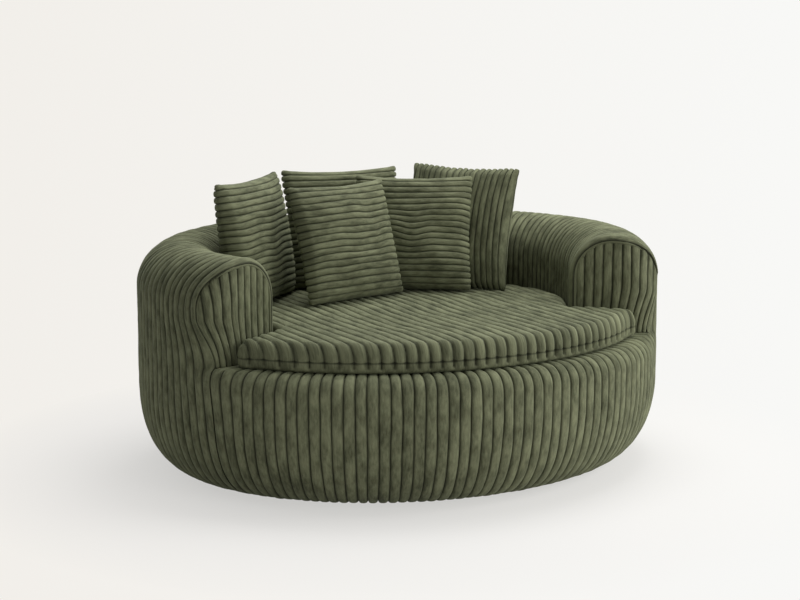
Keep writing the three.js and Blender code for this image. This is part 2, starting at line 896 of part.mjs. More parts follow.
// Pillows, each in a frame of its own: X across, Z up its face, Y through its thickness

function pillowHalfThickness(a, b, half, edge) {
  const crown = Math.max(0, (1 - a * a) * (1 - b * b)) ** pillowThicknessPower;
  return edge + (half - edge) * crown;
}

// along counts the steps along the ribs and across those over them; inset shrinks the form
function pillowForm(side, along, across, ribDepthHere, inset, edge = pillowSeam / 2) {
  const half = pillowThickness / 2;
  const reach = side / 2 - inset;
  const points = [];
  const faces = [];
  const index = (front, i, j) => (front * (across + 1) + i) * (along + 1) + j;
  for (const front of [0, 1]) {
    for (let i = 0; i <= across; i += 1) {
      for (let j = 0; j <= along; j += 1) {
        const a = (2 * i) / across - 1;
        const b = (2 * j) / along - 1;
        const valley = i % 2 === 0 ? ribDepthHere : 0;
        const fade = Math.min(1, (1 - a * a) * (1 - b * b) * pillowRibFade);
        const depth = Math.max(edge, pillowHalfThickness(a, b, half, edge) - inset - valley * fade);
        const pull = (c) => reach - pillowPull * (1 - c * c);
        points.push(new THREE.Vector3(b * pull(a), front === 0 ? -depth : depth, a * pull(b)));
      }
    }
  }
  for (let i = 0; i < across; i += 1) {
    for (let j = 0; j < along; j += 1) {
      for (const front of [0, 1]) {
        const quad = [[i, j], [i, j + 1], [i + 1, j + 1], [i + 1, j]].map(([m, n]) => index(front, m, n));
        if (front === 1) quad.reverse();
        faces.push([quad[0], quad[1], quad[2]], [quad[0], quad[2], quad[3]]);
      }
    }
  }
  const rim = [];
  for (let j = 0; j < along; j += 1) rim.push([0, j]);
  for (let i = 0; i < across; i += 1) rim.push([i, along]);
  for (let j = along; j > 0; j -= 1) rim.push([across, j]);
  for (let i = across; i > 0; i -= 1) rim.push([i, 0]);
  for (let k = 0; k < rim.length; k += 1) {
    const [i, j] = rim[k];
    const [m, n] = rim[(k + 1) % rim.length];
    faces.push([index(0, i, j), index(1, i, j), index(1, m, n)]);
    faces.push([index(0, i, j), index(1, m, n), index(0, m, n)]);
  }
  return closedGeometry(points, faces);
}

function orient(geometry, upright) {
  return upright ? geometry.rotateY(Math.PI / 2) : geometry;
}

function pillowSlot(side, grow) {
  const middle = -side / 2 + pillowPull;
  return box(pillowZipLength + 2 * grow, pillowZipThickness + 2 * grow, pillowSlotHeight, 0, 0, middle);
}

function pillowPieces({ side, upright }) {
  const shell = orient(pillowForm(side, pillowSteps, 2 * pillowRibs, pillowRibDepth, 0), upright);
  const inset = pillowRibDepth + pillowClothThickness;
  const fillEdge = pillowSeam / 2 - clearance;
  const fill = orient(pillowForm(side, pillowSteps, pillowSteps, 0, inset + clearance, fillEdge), upright);
  const hollow = orient(pillowForm(side, pillowSteps, pillowSteps, 0, inset), upright);
  const zipTop = -side / 2 + pillowPull + pillowClothThickness;
  const zipBottom = zipTop - pillowSeam;
  const zip = box(pillowZipLength, pillowZipThickness, zipTop - zipBottom, 0, 0, (zipTop + zipBottom) / 2);
  return { whole: shell, cover: cut(shell, hollow, pillowSlot(side, clearance)), fill, zip };
}

function pillowMatrix({ turn, lean, side }, place) {
  const yaw = THREE.MathUtils.degToRad(turn);
  const tilt = THREE.MathUtils.degToRad(lean);
  const frame = new THREE.Matrix4().makeTranslation(place.x, place.y, place.z);
  frame.multiply(new THREE.Matrix4().makeRotationZ(yaw));
  frame.multiply(new THREE.Matrix4().makeRotationX(-tilt));
  return frame.multiply(new THREE.Matrix4().makeTranslation(0, 0, side / 2));
}

// Moves a solid along a direction, from clear to touching, and stops a clearance short of contact
function settle(geometry, direction, travel, obstacles) {
  const touches = (distance) => {
    const step = direction.clone().multiplyScalar(distance);
    const solid = toSolid(geometry.clone().translate(step.x, step.y, step.z));
    return obstacles.some((obstacle) => !solid.intersect(obstacle).isEmpty());
  };
  let free = -travel;
  let blocked = travel;
  if (!touches(blocked)) return blocked;
  for (let i = 0; i < settleSteps; i += 1) {
    const middle = (free + blocked) / 2;
    if (touches(middle)) blocked = middle;
    else free = middle;
  }
  return free - clearance;
}

// Assembly

addPiece('wall_cover', wallCover(), 'corduroy');
addPiece('base_front_cover', frontCover(), 'corduroy');
addPiece('arm_front_cover_right', armFrontCover(1), 'corduroy');
addPiece('arm_front_cover_left', armFrontCover(-1), 'corduroy');
for (const [name, geometry] of Object.entries(wallFoams())) addPiece(name, geometry, 'foam');
addPiece('base_front_foam', standOnBase(sweep(seamedFrontTurns, () => frontFoamSection())), 'foam');
addPiece('arm_front_foam_right', armFrontFoam(1), 'foam');
addPiece('arm_front_foam_left', armFrontFoam(-1), 'foam');

const deckInset = wallThickness + clearance;
addPiece('deck_foam', extrudeUp(ovalOutline(deckInset), deckFoamBottom, deckClothBottom - clearance), 'foam');
addPiece('deck_cloth', extrudeUp(ovalOutline(deckInset), deckClothBottom, deckHeight), 'lining');

addPiece('base_panel', basePanel(), 'plywood');
addPiece('deck_ring', deckRing(), 'plywood');
addPiece('base_band', baseBand(), 'plywood');
addPiece('outer_band', outerBand(), 'plywood');
addPiece('inner_band', innerBand(), 'plywood');

addPiece('arm_end_former_right', armEndFormer(1), 'plywood');
addPiece('arm_end_former_left', armEndFormer(-1), 'plywood');
wallFormerShares.forEach((share, i) => {
  addPiece(`wall_former_${i + 1}`, wallFormer(wallTurns[Math.round(share * wallSteps)]), 'plywood');
});
frontFormerShares.forEach((share, i) => {
  addPiece(`front_former_${i + 1}`, frontFormer(seamedFrontTurns[Math.round(share * frontSteps)]), 'plywood');
});

crossStrapShares.forEach((share, i) => {
  addPiece(`webbing_cross_${i + 1}`, strap(false, share, crossStrapBottom), 'webbing');
});
longStrapShares.forEach((share, i) => {
  addPiece(`webbing_long_${i + 1}`, strap(true, share, longStrapBottom), 'webbing');
});

addPiece('dust_cover', dustCover(), 'lining');
glideTurnShares.forEach((share, i) => {
  const glide = addPiece(`glide_${glideNames[i]}`, glideGeometry(), 'glide');
  const [x, y] = planPoint(2 * Math.PI * share, glideInset);
  glide.position.set(x, y, 0);
});

addPiece('seat_pad_cover', padCover(), 'corduroy');
addPiece('seat_pad_foam', padFoamBody(0), 'foam');
addPiece('seat_pad_zip', padZipTape(), 'zip');
addPiece('seat_pad_zip_slider', padZipSlider(), 'zip');

// Each pillow comes down onto the pad, leans back on what is behind it and sinks until it rests
const padSolid = toSolid(padRibbed());
const wallSolid = toSolid(sweep(ribTurns(armEnd, leftArmEnd), (i) => wallOuterSection(ribInset(i))));
const down = new THREE.Vector3(0, 0, -1);
const placed = {};

function restPillow(pillow, whole) {
  const yaw = THREE.MathUtils.degToRad(pillow.turn);
  const back = new THREE.Vector3(-Math.sin(yaw), Math.cos(yaw), 0);
  const supports = [wallSolid, ...pillow.behind.map((name) => placed[name])];
  const [shareX, shareY] = pillowShares[pillow.name];
  const place = new THREE.Vector3(shareX * halfWidth, shareY * halfDepth, padTop + padCrown);
  const move = (direction, travel, obstacles) => {
    const standing = whole.clone().applyMatrix4(pillowMatrix(pillow, place));
    place.addScaledVector(direction, settle(standing, direction, travel, obstacles));
  };
  move(down, pillowStandOff, [padSolid]);
  move(back, pillowStandOff, supports);
  place.z += pillowSeam;
  move(down, pillowStandOff / 2, [padSolid, ...supports]);
  return pillowMatrix(pillow, place);
}

for (const pillow of pillows) {
  const { whole, cover, fill, zip } = pillowPieces(pillow);
  const matrix = restPillow(pillow, whole);
  placed[pillow.name] = toSolid(whole.clone().applyMatrix4(matrix));
  const group = new THREE.Group();
  group.applyMatrix4(matrix);
  chair.add(group);
  addPiece(`pillow_${pillow.name}_cover`, cover, 'corduroy', group);
  addPiece(`pillow_${pillow.name}_fill`, fill, 'foam', group);
  addPiece(`pillow_${pillow.name}_zip`, zip, 'zip', group);
}

export default chair;
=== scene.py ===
# Cuddle chair in olive corduroy: a ribbed oval tub, a loose seat pad and five loose pillows.
# Metres, +Z up, front towards -Y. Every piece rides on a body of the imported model.

import json
import math

import bpy
import numpy as np
from mathutils import Matrix, Vector
from mathutils.geometry import delaunay_2d_cdt


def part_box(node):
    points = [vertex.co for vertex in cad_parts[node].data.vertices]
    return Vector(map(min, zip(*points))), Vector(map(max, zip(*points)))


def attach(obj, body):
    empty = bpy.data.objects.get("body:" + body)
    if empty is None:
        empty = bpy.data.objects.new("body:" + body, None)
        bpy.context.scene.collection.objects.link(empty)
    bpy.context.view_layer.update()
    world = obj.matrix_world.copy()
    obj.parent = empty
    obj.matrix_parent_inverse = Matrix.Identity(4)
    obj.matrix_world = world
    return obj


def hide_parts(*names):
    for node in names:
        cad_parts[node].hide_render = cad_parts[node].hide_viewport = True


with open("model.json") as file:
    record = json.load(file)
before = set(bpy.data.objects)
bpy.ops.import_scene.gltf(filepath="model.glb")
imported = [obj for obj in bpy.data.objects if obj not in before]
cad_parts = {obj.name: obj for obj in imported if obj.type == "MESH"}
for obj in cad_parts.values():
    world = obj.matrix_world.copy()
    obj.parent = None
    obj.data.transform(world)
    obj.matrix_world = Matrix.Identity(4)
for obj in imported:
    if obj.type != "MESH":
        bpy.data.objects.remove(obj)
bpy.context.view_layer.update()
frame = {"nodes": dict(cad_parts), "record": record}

# Oval plan and upholstered wall
half_width = 0.75
half_depth = 0.635
wall_height = 0.648
wall_thickness = 0.25
roll_height = 0.12
tuck_inset = 0.185
hem_height = 0.006
tuck_power = 2.4
arm_end_turn = math.radians(29.7)
deck_height = 0.37
front_edge_radius = 0.05
front_straight = 0.052
base_panel_inset = 0.203

# Ribbed corduroy
rib_pitch = 0.03
rib_depth = 0.0085
rib_fullness = 3.2
rib_crest_power = 0.6
cover_thickness = 0.012
rib_height_change = 0.0008
swell_length = 0.06
swell_rib_step = 1.7
fine_swell_share = 0.6
fine_swell_length = 0.022
fine_swell_rib_step = 3.1
groove_wander = 0.0016
wander_length = 0.09
wander_rib_step = 1.3
seam_depth = 0.004
clearance = 0.0003

# Arms' ends: the border rib over the arch, the rounded outer corner and the panel that wraps it
border_radius = 0.016
outer_border_radius = 0.003
border_widening_inset = 0.12
# Painted shade over the border rib's turn, rising steeply towards the seam
border_shade_power = 14
end_ahead = 0.012
corner_radius = 0.09
corner_start_inset = 0.002
shoulder_height = 0.5
deck_seam_inset = 0.026
setback_start_height = 0.2
front_fan_reach = 0.12
shoulder_reach = 0.12
dome_height = 0.1
dimple_reach = 0.07
fanned_ribs = 8
panel_ribs = 10
panel_dip = 0.005
outer_panel_dip = 0.002
panel_dip_width = 0.012
tuck_under = 0.009
tuck_under_dip = 0.004
flange_reach = 0.252
rib_fade_inset = 0.10
flange_fade = 0.04

# Seat pad, with the dip of its seam as shares at distances above it
pad_seam_dip_shares = [(-0.005, 0), (-0.002, 0.5), (0, 1), (0.002, 0.5), (0.005, 0)]
pad_thickness = 0.072
pad_crown = 0.008
pad_front_inset = 0.062
pad_gap = 0.002
pad_ahead = clearance + cover_thickness + 0.008
pad_tip_inset = 0.036
pad_ear_radius = 0.034
pad_neck_radius = 0.014
pad_top_rounding = 0.029
pad_top_drop = 0.042
pad_bottom_rounding = 0.014
pad_rib_turn = math.radians(7)
pad_edge_rib_depth = 0.0135
pad_edge_fullness = 2.2
pad_top_fullness = 3
pad_rib_wave = 0.006
pad_rib_wave_lengths = (0.22, 0.16)
pad_top_wave = 0.002
pad_top_wave_lengths = (0.14, 0.14)
pad_seam_height = 0.026
pad_seam_dip = 0.002
# Painted shade: how much the seam's dip darkens the colour, and an even darkening of the pad's underside
pad_seam_shade = 0.7
pad_under_shade = 0.3
pad_margin = 0.0302
pad_zip_setback = 0.17
pad_zip_rise = 0.0045
pad_zip_half_length = 0.29
pad_zip_half_width = 0.0045
pad_zip_slope_end = 0.01
pad_zip_end_slope = 0.02
pad_zip_rows = np.array([0.0035, 0.0055, 0.008, 0.012])
outline_step = 0.0025
pad_row_step = 0.012
under_step = 0.04

# Pillows, each with its turn and lean in degrees
large_side = 0.362
small_side = 0.347
pillow_thickness = 0.126
pillow_rib_depth = 0.0055
pillow_rib_fullness = 2.6
pillow_seam = 0.002
pillow_seam_share = 0.3
pillow_scallop = 0.003
pillow_scallop_middle = 0.6
pillow_end_start = 0.86
pillow_end_dip_share = 0.9
pillow_grid = 24
pillow_rows = 48
pillow_fullness = 0.4
pillow_dent = 0.009
dent_pace = 1.8
dent_shift = 9
pillow_rib_bow = 0.0065
bow_pace_across = 1.4
bow_pace_along = 2.6
bow_shift = 20
pillow_rest = 0.013
pillow_start_pull = 0.010
pillow_start_thickness = 0.115
pillow_cloth = {
    "quality": 8,
    "mass": 0.3,
    "tension_stiffness": 60,
    "compression_stiffness": 60,
    "shear_stiffness": 30,
    "bending_stiffness": 6,
    "use_pressure": True,
    "uniform_pressure_force": 4,
}
pillow_frames = 20
pillow_cap = 0.022
pillow_corner_pull = 0.005
pillow_corner_power = 6
pillow_nap_start = 40
pillows = [
    {"name": "back_right", "side": large_side, "ribs": 19, "turn": -50.7, "lean": 14.6, "seed": 101},
    {"name": "back_left", "side": large_side, "ribs": 19, "turn": -1.7, "lean": 14.8, "seed": 131},
    {"name": "centre", "side": small_side, "ribs": 19, "turn": -25.6, "lean": 14.8, "seed": 151},
    {"name": "front", "side": small_side, "ribs": 18, "turn": 19, "lean": 17, "seed": 181},
    {"name": "far_left", "side": large_side, "ribs": 19, "turn": 45, "lean": 9.5, "seed": 211},
]
pillow_with_upright_ribs = "back_right"
pillow_shifts = {"back_left": -0.005, "far_left": 0.014}

# Sheets
deck_cloth_height = 0.3697
dust_cover_height = 0.0237
glide_clear_radius = 0.018
glide_count = 6
glide_inset = 0.246
sheet_step = 0.03
sheet_margin = 0.01
sheet_wrinkle = 0.0006
sheet_wrinkle_lengths = (0.08, 0.08)
hole_points = 16
hole_spacing = 1.3
hole_clear_share = 0.95

# Camera, found by fitting the photograph
camera_azimuth = math.radians(-22)
camera_elevation = math.radians(10.35)
camera_distance = 5.35
camera_focal_pixels = 1880
camera_target_height = 0.457
camera_target_shift = -0.003
photo_width = 800
sensor_width = 36

# Studio
# Painted shade: the floor and backdrop seen by the camera are darker and warmer on the left
backdrop_left = (0.887, 0.863, 0.823)
backdrop_right = (0.939, 0.939, 0.922)
floor_left = (0.831, 0.823, 0.807)
floor_right = (0.947, 0.939, 0.905)
backdrop_spread = 0.2
floor_colour = (0.86, 0.84, 0.83)
floor_white_share = 0.64
floor_fade_start = 0.6
floor_fade_end = 1.3
floor_reach = 60
world_light = 0.22

# Lamps: name, place, side and power
lamp_target = (0, 0, 0.4)
lamps = [
    ("top", (0.8, 0.6, 3.4), 2.2, 90),
    ("side", (3.2, -1.7, 2.0), 1.6, 62),
    ("front", (1.3, -3.8, 1.5), 1.6, 28),
]

# Colours
olive_light = (0.235, 0.250, 0.145)
olive_dark = (0.055, 0.060, 0.032)
olive_sheen = (0.55, 0.62, 0.42)
# Painted shade: the colour down in the grooves is the dark olive times this share
groove_shade = 0.25
lining_light = (0.022, 0.022, 0.022)
lining_dark = (0.012, 0.012, 0.012)
webbing_light = (0.05, 0.05, 0.05)
webbing_dark = (0.02, 0.02, 0.02)
foam_light = (0.82, 0.75, 0.52)
foam_dark = (0.70, 0.62, 0.38)
plywood_light = (0.60, 0.41, 0.20)
plywood_dark = (0.36, 0.22, 0.10)
glide_colour = (0.008, 0.008, 0.008)
zip_colour = (0.035, 0.043, 0.024)
moulded_light_share = 1.35

# Textures: how fast they change, and the ranges of their noise that are spread out
patch_scales = (1.4, 14, 1)
stroke_scales = (9, 40, 1)
pile_scales = (10, 260, 1)
grain_scales = (6, 60, 220)
pile_strength = 1.2
fibre_scale = 900
cloud_scale = 3.5
nap_range = (0.38, 0.62)
mottle_range = (0.3, 0.7)
# Painted shade: the part of the groove value over which the colour darkens
groove_range = (0.15, 0.9)

# Places along a rib, from one groove to the next
rib_phases = np.array([0, 0.035, 0.09, 0.18, 0.32, 0.5, 0.68, 0.82, 0.91, 0.965])
crest_phase = 0.5
columns_per_rib = len(rib_phases)

# Points along curves, rows of points, rounds of sums that settle, and small distances
fine_steps = 4000
tuck_steps = 60
roll_steps = 90
edge_steps = 30
border_steps = 6
wall_rows = 121
front_rows = 91
panel_rows = 70
panel_corner_steps = 200
panel_flat_steps = 50
corner_steps = 14
pad_wall_steps = 200
pad_front_steps = 300
pad_bottom_steps = 5
pad_top_steps = 11
sheet_outline_steps = 200
settling_rounds = 6
merge_distance = 1e-7
smallest = 1e-12
rounding_room = 1e-6

# Seeds and start of the smooth noise
wall_seed = 11
front_seed = 23
panel_seed = 31
pad_rib_seed = 43
pad_wave_seed = 47
pad_top_seed = 53
sheet_seed = 61
noise_shift = 30

widest_height = deck_height - front_edge_radius - front_straight
roll_base = wall_height - roll_height
arm_end = -arm_end_turn
left_arm_end = math.pi + arm_end_turn
front_end = 2 * math.pi + arm_end
pad_bottom = deck_height + clearance
pad_top = pad_bottom + pad_thickness
pad_ear_margin = 3 * pad_ear_radius
zip_place = half_depth - wall_thickness - pad_zip_setback


# Smooth noise from a seeded table

def fade(share):
    return share * share * (3 - 2 * share)


def smooth_noise(u, v, seed):
    """Values from -1 to 1 that change smoothly over one unit of u and of v."""
    table = np.random.default_rng(seed).uniform(-1, 1, (61, 67))
    columns, rows = table.shape
    i = np.floor(u).astype(int)
    j = np.floor(v).astype(int)
    s = fade(u - i)
    t = fade(v - j)
    low = table[i % columns, j % rows] * (1 - s) + table[(i + 1) % columns, j % rows] * s
    high = table[i % columns, (j + 1) % rows] * (1 - s) + table[(i + 1) % columns, (j + 1) % rows] * s
    return low * (1 - t) + high * t


def plan_noise(points, lengths, seed):
    """Smooth noise over places in plan, from the lengths of its waves in x and y."""
    u, v = [points[..., k] / lengths[k] + noise_shift for k in (0, 1)]
    return smooth_noise(u, v, seed)


def blend_between(value, low, high):
    return fade(np.clip((value - low) / (high - low), 0, 1))


def nearness(distance, reach):
    """1 at no distance, falling evenly to 0 at the reach."""
    return 1 - np.clip(distance / reach, 0, 1)


# Directions

def unit(vectors):
    return vectors / np.linalg.norm(vectors, axis=-1, keepdims=True)


def left_of(tangents):
    """Unit normals to the left of tangents in a plane."""
    return unit(np.stack([-tangents[:, 1], tangents[:, 0]], axis=1))


def arc_points(start, end, count):
    return np.linspace(math.radians(start), math.radians(end), count)


# The oval plan

def plan_normal(turn):
    return unit(np.stack([np.cos(turn) / half_width, np.sin(turn) / half_depth], axis=-1))


def plan_point(turn, inset):
    edge = np.stack([half_width * np.cos(turn), half_depth * np.sin(turn)], axis=-1)
    return edge - np.asarray(inset)[..., None] * plan_normal(turn)


def plan_speed(turn):
    return np.hypot(half_width * np.sin(turn), half_depth * np.cos(turn))


def lengths_along(points):
    steps = np.linalg.norm(np.diff(points, axis=0), axis=1)
    return np.concatenate([[0], np.cumsum(steps)])


def plan_length(start, end):
    return lengths_along(plan_point(np.linspace(start, end, fine_steps), 0))[-1]


def turns_at(start, end, shares):
    """Turns at shares of the way along the oval's edge."""
    fine = np.linspace(start, end, fine_steps)
    lengths = lengths_along(plan_point(fine, 0))
    return np.interp(shares * lengths[-1], lengths, fine)


def resample_open(points, count):
    lengths = lengths_along(points)
    wanted = np.linspace(0, lengths[-1], count)
    return np.stack([np.interp(wanted, lengths, axis) for axis in points.T], axis=1)


# Ribs

def rib_profile(phase, fullness=rib_fullness):
    """1 on the crest of a rib and 0 in the groove beside it."""
    return (1 - np.abs(2 * phase - 1) ** fullness) ** rib_crest_power


def rib_surface(rib, phase, along, seed, fullness=rib_fullness):
    """A rib's profile from 0 to 1, how far it swells and how far its grooves wander, in metres."""
    profile = rib_profile(phase, fullness)
    swell = smooth_noise(rib * swell_rib_step, along / swell_length, seed)
    fine = smooth_noise(rib * fine_swell_rib_step, along / fine_swell_length, seed + 1)
    left = smooth_noise(rib * wander_rib_step, along / wander_length, seed + 2)
    right = smooth_noise((rib + 1) * wander_rib_step, along / wander_length, seed + 2)
    wander = groove_wander * ((1 - phase) * left + phase * right)
    return profile, rib_height_change * (swell + fine_swell_share * fine) * profile, wander


def rib_columns(first, last):
    """The rib, the place on it and the freedom to wander of every column over some ribs."""
    index = np.arange(first * columns_per_rib, last * columns_per_rib + 1)[:, None]
    free = np.clip(np.minimum(index - index[0], index[-1] - index) / columns_per_rib, 0, 1)
    return index // columns_per_rib, rib_phases[index % columns_per_rib], free


# Meshes

def add_object(name, data):
    """A new object in the scene, from a mesh, a light or a camera."""
    added = bpy.data.objects.new(name, data)
    bpy.context.scene.collection.objects.link(added)
    return added


def new_mesh(name, points, faces):
    mesh = bpy.data.meshes.new(name)
    mesh.from_pydata(np.reshape(points, (-1, 3)).tolist(), [], faces)
    return mesh


def add_piece(name, points, faces, body, nap=None, groove=None):
    mesh = new_mesh(name, points, faces)
    mesh.validate()
    mesh.shade_smooth()
    # The groove attribute holds painted shade for the corduroy's colour, from 0 on the crests to 1 in the
    # grooves
    attributes = (("groove", "FLOAT", "value", groove), ("nap", "FLOAT_VECTOR", "vector", nap))
    for key, kind, field, values in attributes:
        if values is not None:
            attribute = mesh.attributes.new(key, kind, "POINT")
            attribute.data.foreach_set(field, values.astype(np.float32).ravel())
    piece = add_object(name, mesh)
    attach(piece, body)
    return piece


def grid_faces(columns, rows, start, flip):
    """Quads between neighbouring columns and rows of a grid stored column by column."""
    i, j = np.meshgrid(np.arange(columns - 1), np.arange(rows - 1), indexing="ij")
    corner = start + i * rows + j
    quads = np.stack([corner, corner + rows, corner + rows + 1, corner + 1], axis=-1).reshape(-1, 4)
    return (quads[:, ::-1] if flip else quads).tolist()


def closed_faces(columns, rows, flip):
    """Faces of two equal grids, one stored after the other, and the quads that join their rims."""
    rim = [k * rows for k in range(columns)]
    rim += [(columns - 1) * rows + k for k in range(1, rows)]
    rim += [k * rows + rows - 1 for k in range(columns - 2, -1, -1)]
    rim += list(range(rows - 2, 0, -1))
    other = columns * rows
    faces = grid_faces(columns, rows, 0, flip) + grid_faces(columns, rows, other, not flip)
    for a, b in zip(rim, rim[1:] + rim[:1]):
        quad = [a, b, b + other, a + other]
        faces.append(quad if flip else quad[::-1])
    return faces


def grid_normals(points, outward):
    normal = np.cross(np.gradient(points, axis=0), np.gradient(points, axis=1))
    normal /= np.linalg.norm(normal, axis=-1, keepdims=True) + smallest
    return normal * np.sign((normal * outward).sum())


# Sections through the upholstery, as [inset from the oval, height]

def tuck_points(inset):
    q = arc_points(0, 90, tuck_steps)
    down = np.cos(q).clip(0) ** (2 / tuck_power)
    out = np.sin(q) ** (2 / tuck_power)
    height = widest_height - (widest_height - hem_height - inset) * down
    return np.stack([tuck_inset - (tuck_inset - inset) * out, height], axis=1)


def roll_points(inset):
    a = arc_points(0, 180, roll_steps)
    middle = wall_thickness / 2
    across = middle - (middle - inset) * np.cos(a)
    return np.stack([across, roll_base + (roll_height - inset) * np.sin(a)], axis=1)


def wall_path(inset, count):
    path = np.concatenate([tuck_points(inset), roll_points(inset), [[wall_thickness - inset, pad_bottom]]])
    return resample_open(path, count)


def front_path(inset, count):
    a = arc_points(0, 90, edge_steps)
    radius = front_edge_radius
    edge = [radius - (radius - inset) * np.cos(a), deck_height - radius + (radius - inset) * np.sin(a)]
    flange_end = [[flange_reach, deck_height - inset]]
    path = np.concatenate([tuck_points(inset), np.stack(edge, axis=1), flange_end])
    return resample_open(path, count)


def path_normals(path):
    """Unit normals that point out of the upholstery."""
    return left_of(np.gradient(path, axis=0))


def sweep_ribbed(turn, ahead, path, depth, inner, side, inward):
    """Points of closed sections: the ribbed face along path, then the back of the cover.

    turn, ahead, depth and inward have a value for each column and point of the path, and
    inner has a point for every second point of the path.
    """
    face = path - depth[..., None] * path_normals(path)
    face[..., 0] += inward
    behind = np.maximum(0, depth[:, ::2] + seam_depth - cover_thickness)
    back = inner - behind[..., None] * path_normals(inner)
    back[..., 0] += inward[:, ::2]
    section = np.concatenate([face, back[:, ::-1]], axis=1)
    turn_all, ahead_all = [np.concatenate([v, v[:, ::2][:, ::-1]], axis=1) for v in (turn, ahead)]
    normal = plan_normal(turn_all)
    forward = np.stack([side[:, None] * normal[..., 1], -side[:, None] * normal[..., 0]], axis=-1)
    plan = plan_point(turn_all, section[..., 0]) + ahead_all[..., None] * forward
    return np.concatenate([plan, section[..., 1:]], axis=-1)


def section_faces(columns, rows):
    """Quads along closed sections of a face and its back, and strips over both ends."""
    size = rows + (rows + 1) // 2
    i, j = np.meshgrid(np.arange(columns - 1), np.arange(size), indexing="ij")
    corner = i * size + j
    beside = i * size + (j + 1) % size
    faces = np.stack([corner, corner + size, beside + size, beside], axis=-1).reshape(-1, 4).tolist()
    for start, flip in ((0, False), ((columns - 1) * size, True)):
        for k in range(rows // 2):
            face = [start + 2 * k + n for n in range(3)]
            strip = face + [start + size - 2 - k, start + size - 1 - k]
            faces.append(strip[::-1] if flip else strip)
    return faces


def swept_piece(name, points, shade, along, *nodes):
    """A ribbed skin made of closed sections, in place of the nodes."""
    columns, size = points.shape[:2]
    rows = len(along)
    # Painted shade on the ribbed face from the shade values; none on the back of the cover
    groove = np.zeros((columns, size))
    groove[:, :rows] = shade
    nap = np.zeros((columns, size, 3))
    nap[..., 0] = (np.arange(columns) / columns_per_rib)[:, None]
    nap[:, :rows, 1] = along
    piece = add_piece(name, points, section_faces(columns, rows), "chair", nap, groove)
    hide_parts(*nodes)
    return piece


# The arms' ends, as distances ahead of the end's plane and inward from the oval

def seam_radius(inset):
    """How far the border rib turns in before the seam, by the seam's inset."""
    share = blend_between(inset, 0, border_widening_inset)
    return outer_border_radius + (border_radius - outer_border_radius) * share


def corner_ahead(inset):
    """The rounded outer corner and the flat front of an arm's end."""
    aside = np.clip(corner_radius - inset, 0, corner_radius)
    return end_ahead - corner_radius + np.sqrt(corner_radius ** 2 - aside ** 2)


def seam_ahead(inset):
    """The seam over the arch, which runs from the outside of the arm to its flat front."""
    start = corner_ahead(corner_start_inset)
    return start + (end_ahead - start) * np.sin(np.clip(inset / shoulder_reach, 0, 1) * math.pi / 2)


def arch_height(inset):
    radius = seam_radius(inset)
    half = wall_thickness / 2
    share = np.clip((inset - half) / (half - radius), -1, 1)
    return roll_base + (roll_height - radius) * np.sqrt(1 - share ** 2)


def edge_inset(height):
    """The inset of the base's rounded top edge, away from the arms."""
    rise = np.clip(height - deck_height + front_edge_radius, 0, front_edge_radius)
    return front_edge_radius - np.sqrt(front_edge_radius ** 2 - rise ** 2)


def low_seam_inset(height):
    """The seam's inset over the base's rounded edge and from there up to the arm's shoulder."""
    edge = edge_inset(height) * deck_seam_inset / front_edge_radius
    left = 1 - blend_between(height, deck_height, shoulder_height)
    above = corner_start_inset + (deck_seam_inset - corner_start_inset) * left
    return np.where(height < deck_height, edge, above)


def low_seam_ahead(height):
    """How far ahead the seam lies, from the hem up to the arm's shoulder."""
    below = corner_ahead(deck_seam_inset) * blend_between(height, setback_start_height, deck_height)
    return np.where(height < deck_height, below, corner_ahead(low_seam_inset(height)))


def end_turn(side, ahead):
    turn = arm_end if side > 0 else left_arm_end
    return turn - side * np.minimum(ahead, 0) / plan_speed(turn)


def at_arm_end(side, ahead, inset, height):
    normal = plan_normal(arm_end if side > 0 else left_arm_end)
    forward = np.array([side * normal[1], -side * normal[0]])
    plan = plan_point(end_turn(side, ahead), inset) + np.maximum(ahead, 0)[..., None] * forward
    return np.concatenate([plan, height[..., None]], axis=-1)


# Wall: one ribbed skin from the hem, over the roll and down the inside

def wall_end(path):
    """The seam's distance ahead, turn-in and pull inward at each point of the wall's path."""
    half = wall_thickness / 2
    radius = np.full(len(path), border_radius)
    for _ in range(settling_rounds):
        inset = half - (half - radius) * np.clip((half - path[:, 0]) / half, -1, 1)
        radius = seam_radius(inset)
    outer = (np.arange(len(path)) < np.argmax(path[:, 1])) & (path[:, 1] < roll_base)
    ahead = np.where(outer, low_seam_ahead(path[:, 1]), seam_ahead(inset))
    radius = np.where(outer, outer_border_radius, radius)
    return ahead, radius, np.where(outer, low_seam_inset(path[:, 1]), 0)


def border_columns(groove, front, radius):
    """Distances ahead of the arm's end, depths and painted shade, from the groove over the border rib."""
    crest = front - radius
    rising = rib_phases[rib_phases <= crest_phase]
    ahead = [groove + (crest - groove) * phase / crest_phase for phase in rising]
    shade = [np.full_like(front, 1 - rib_profile(phase)) for phase in rising]
    depth = [rib_depth * dark for dark in shade]
    for angle in arc_points(90 / border_steps, 90, border_steps):
        ahead.append(crest + radius * math.sin(angle))
        depth.append(radius * (1 - math.cos(angle)))
        shade.append(np.full_like(front, math.sin(angle) ** border_shade_power))
    ahead.append(front - seam_depth)
    depth.append(radius + seam_depth)
    shade.append(np.ones_like(front))
    return np.stack(ahead), np.stack(depth), np.stack(shade)


def between_borders(first, middle, last):
    """Columns with the arms' borders in place of the outermost ones."""
    return np.concatenate([first[::-1], middle[1:-1], last])


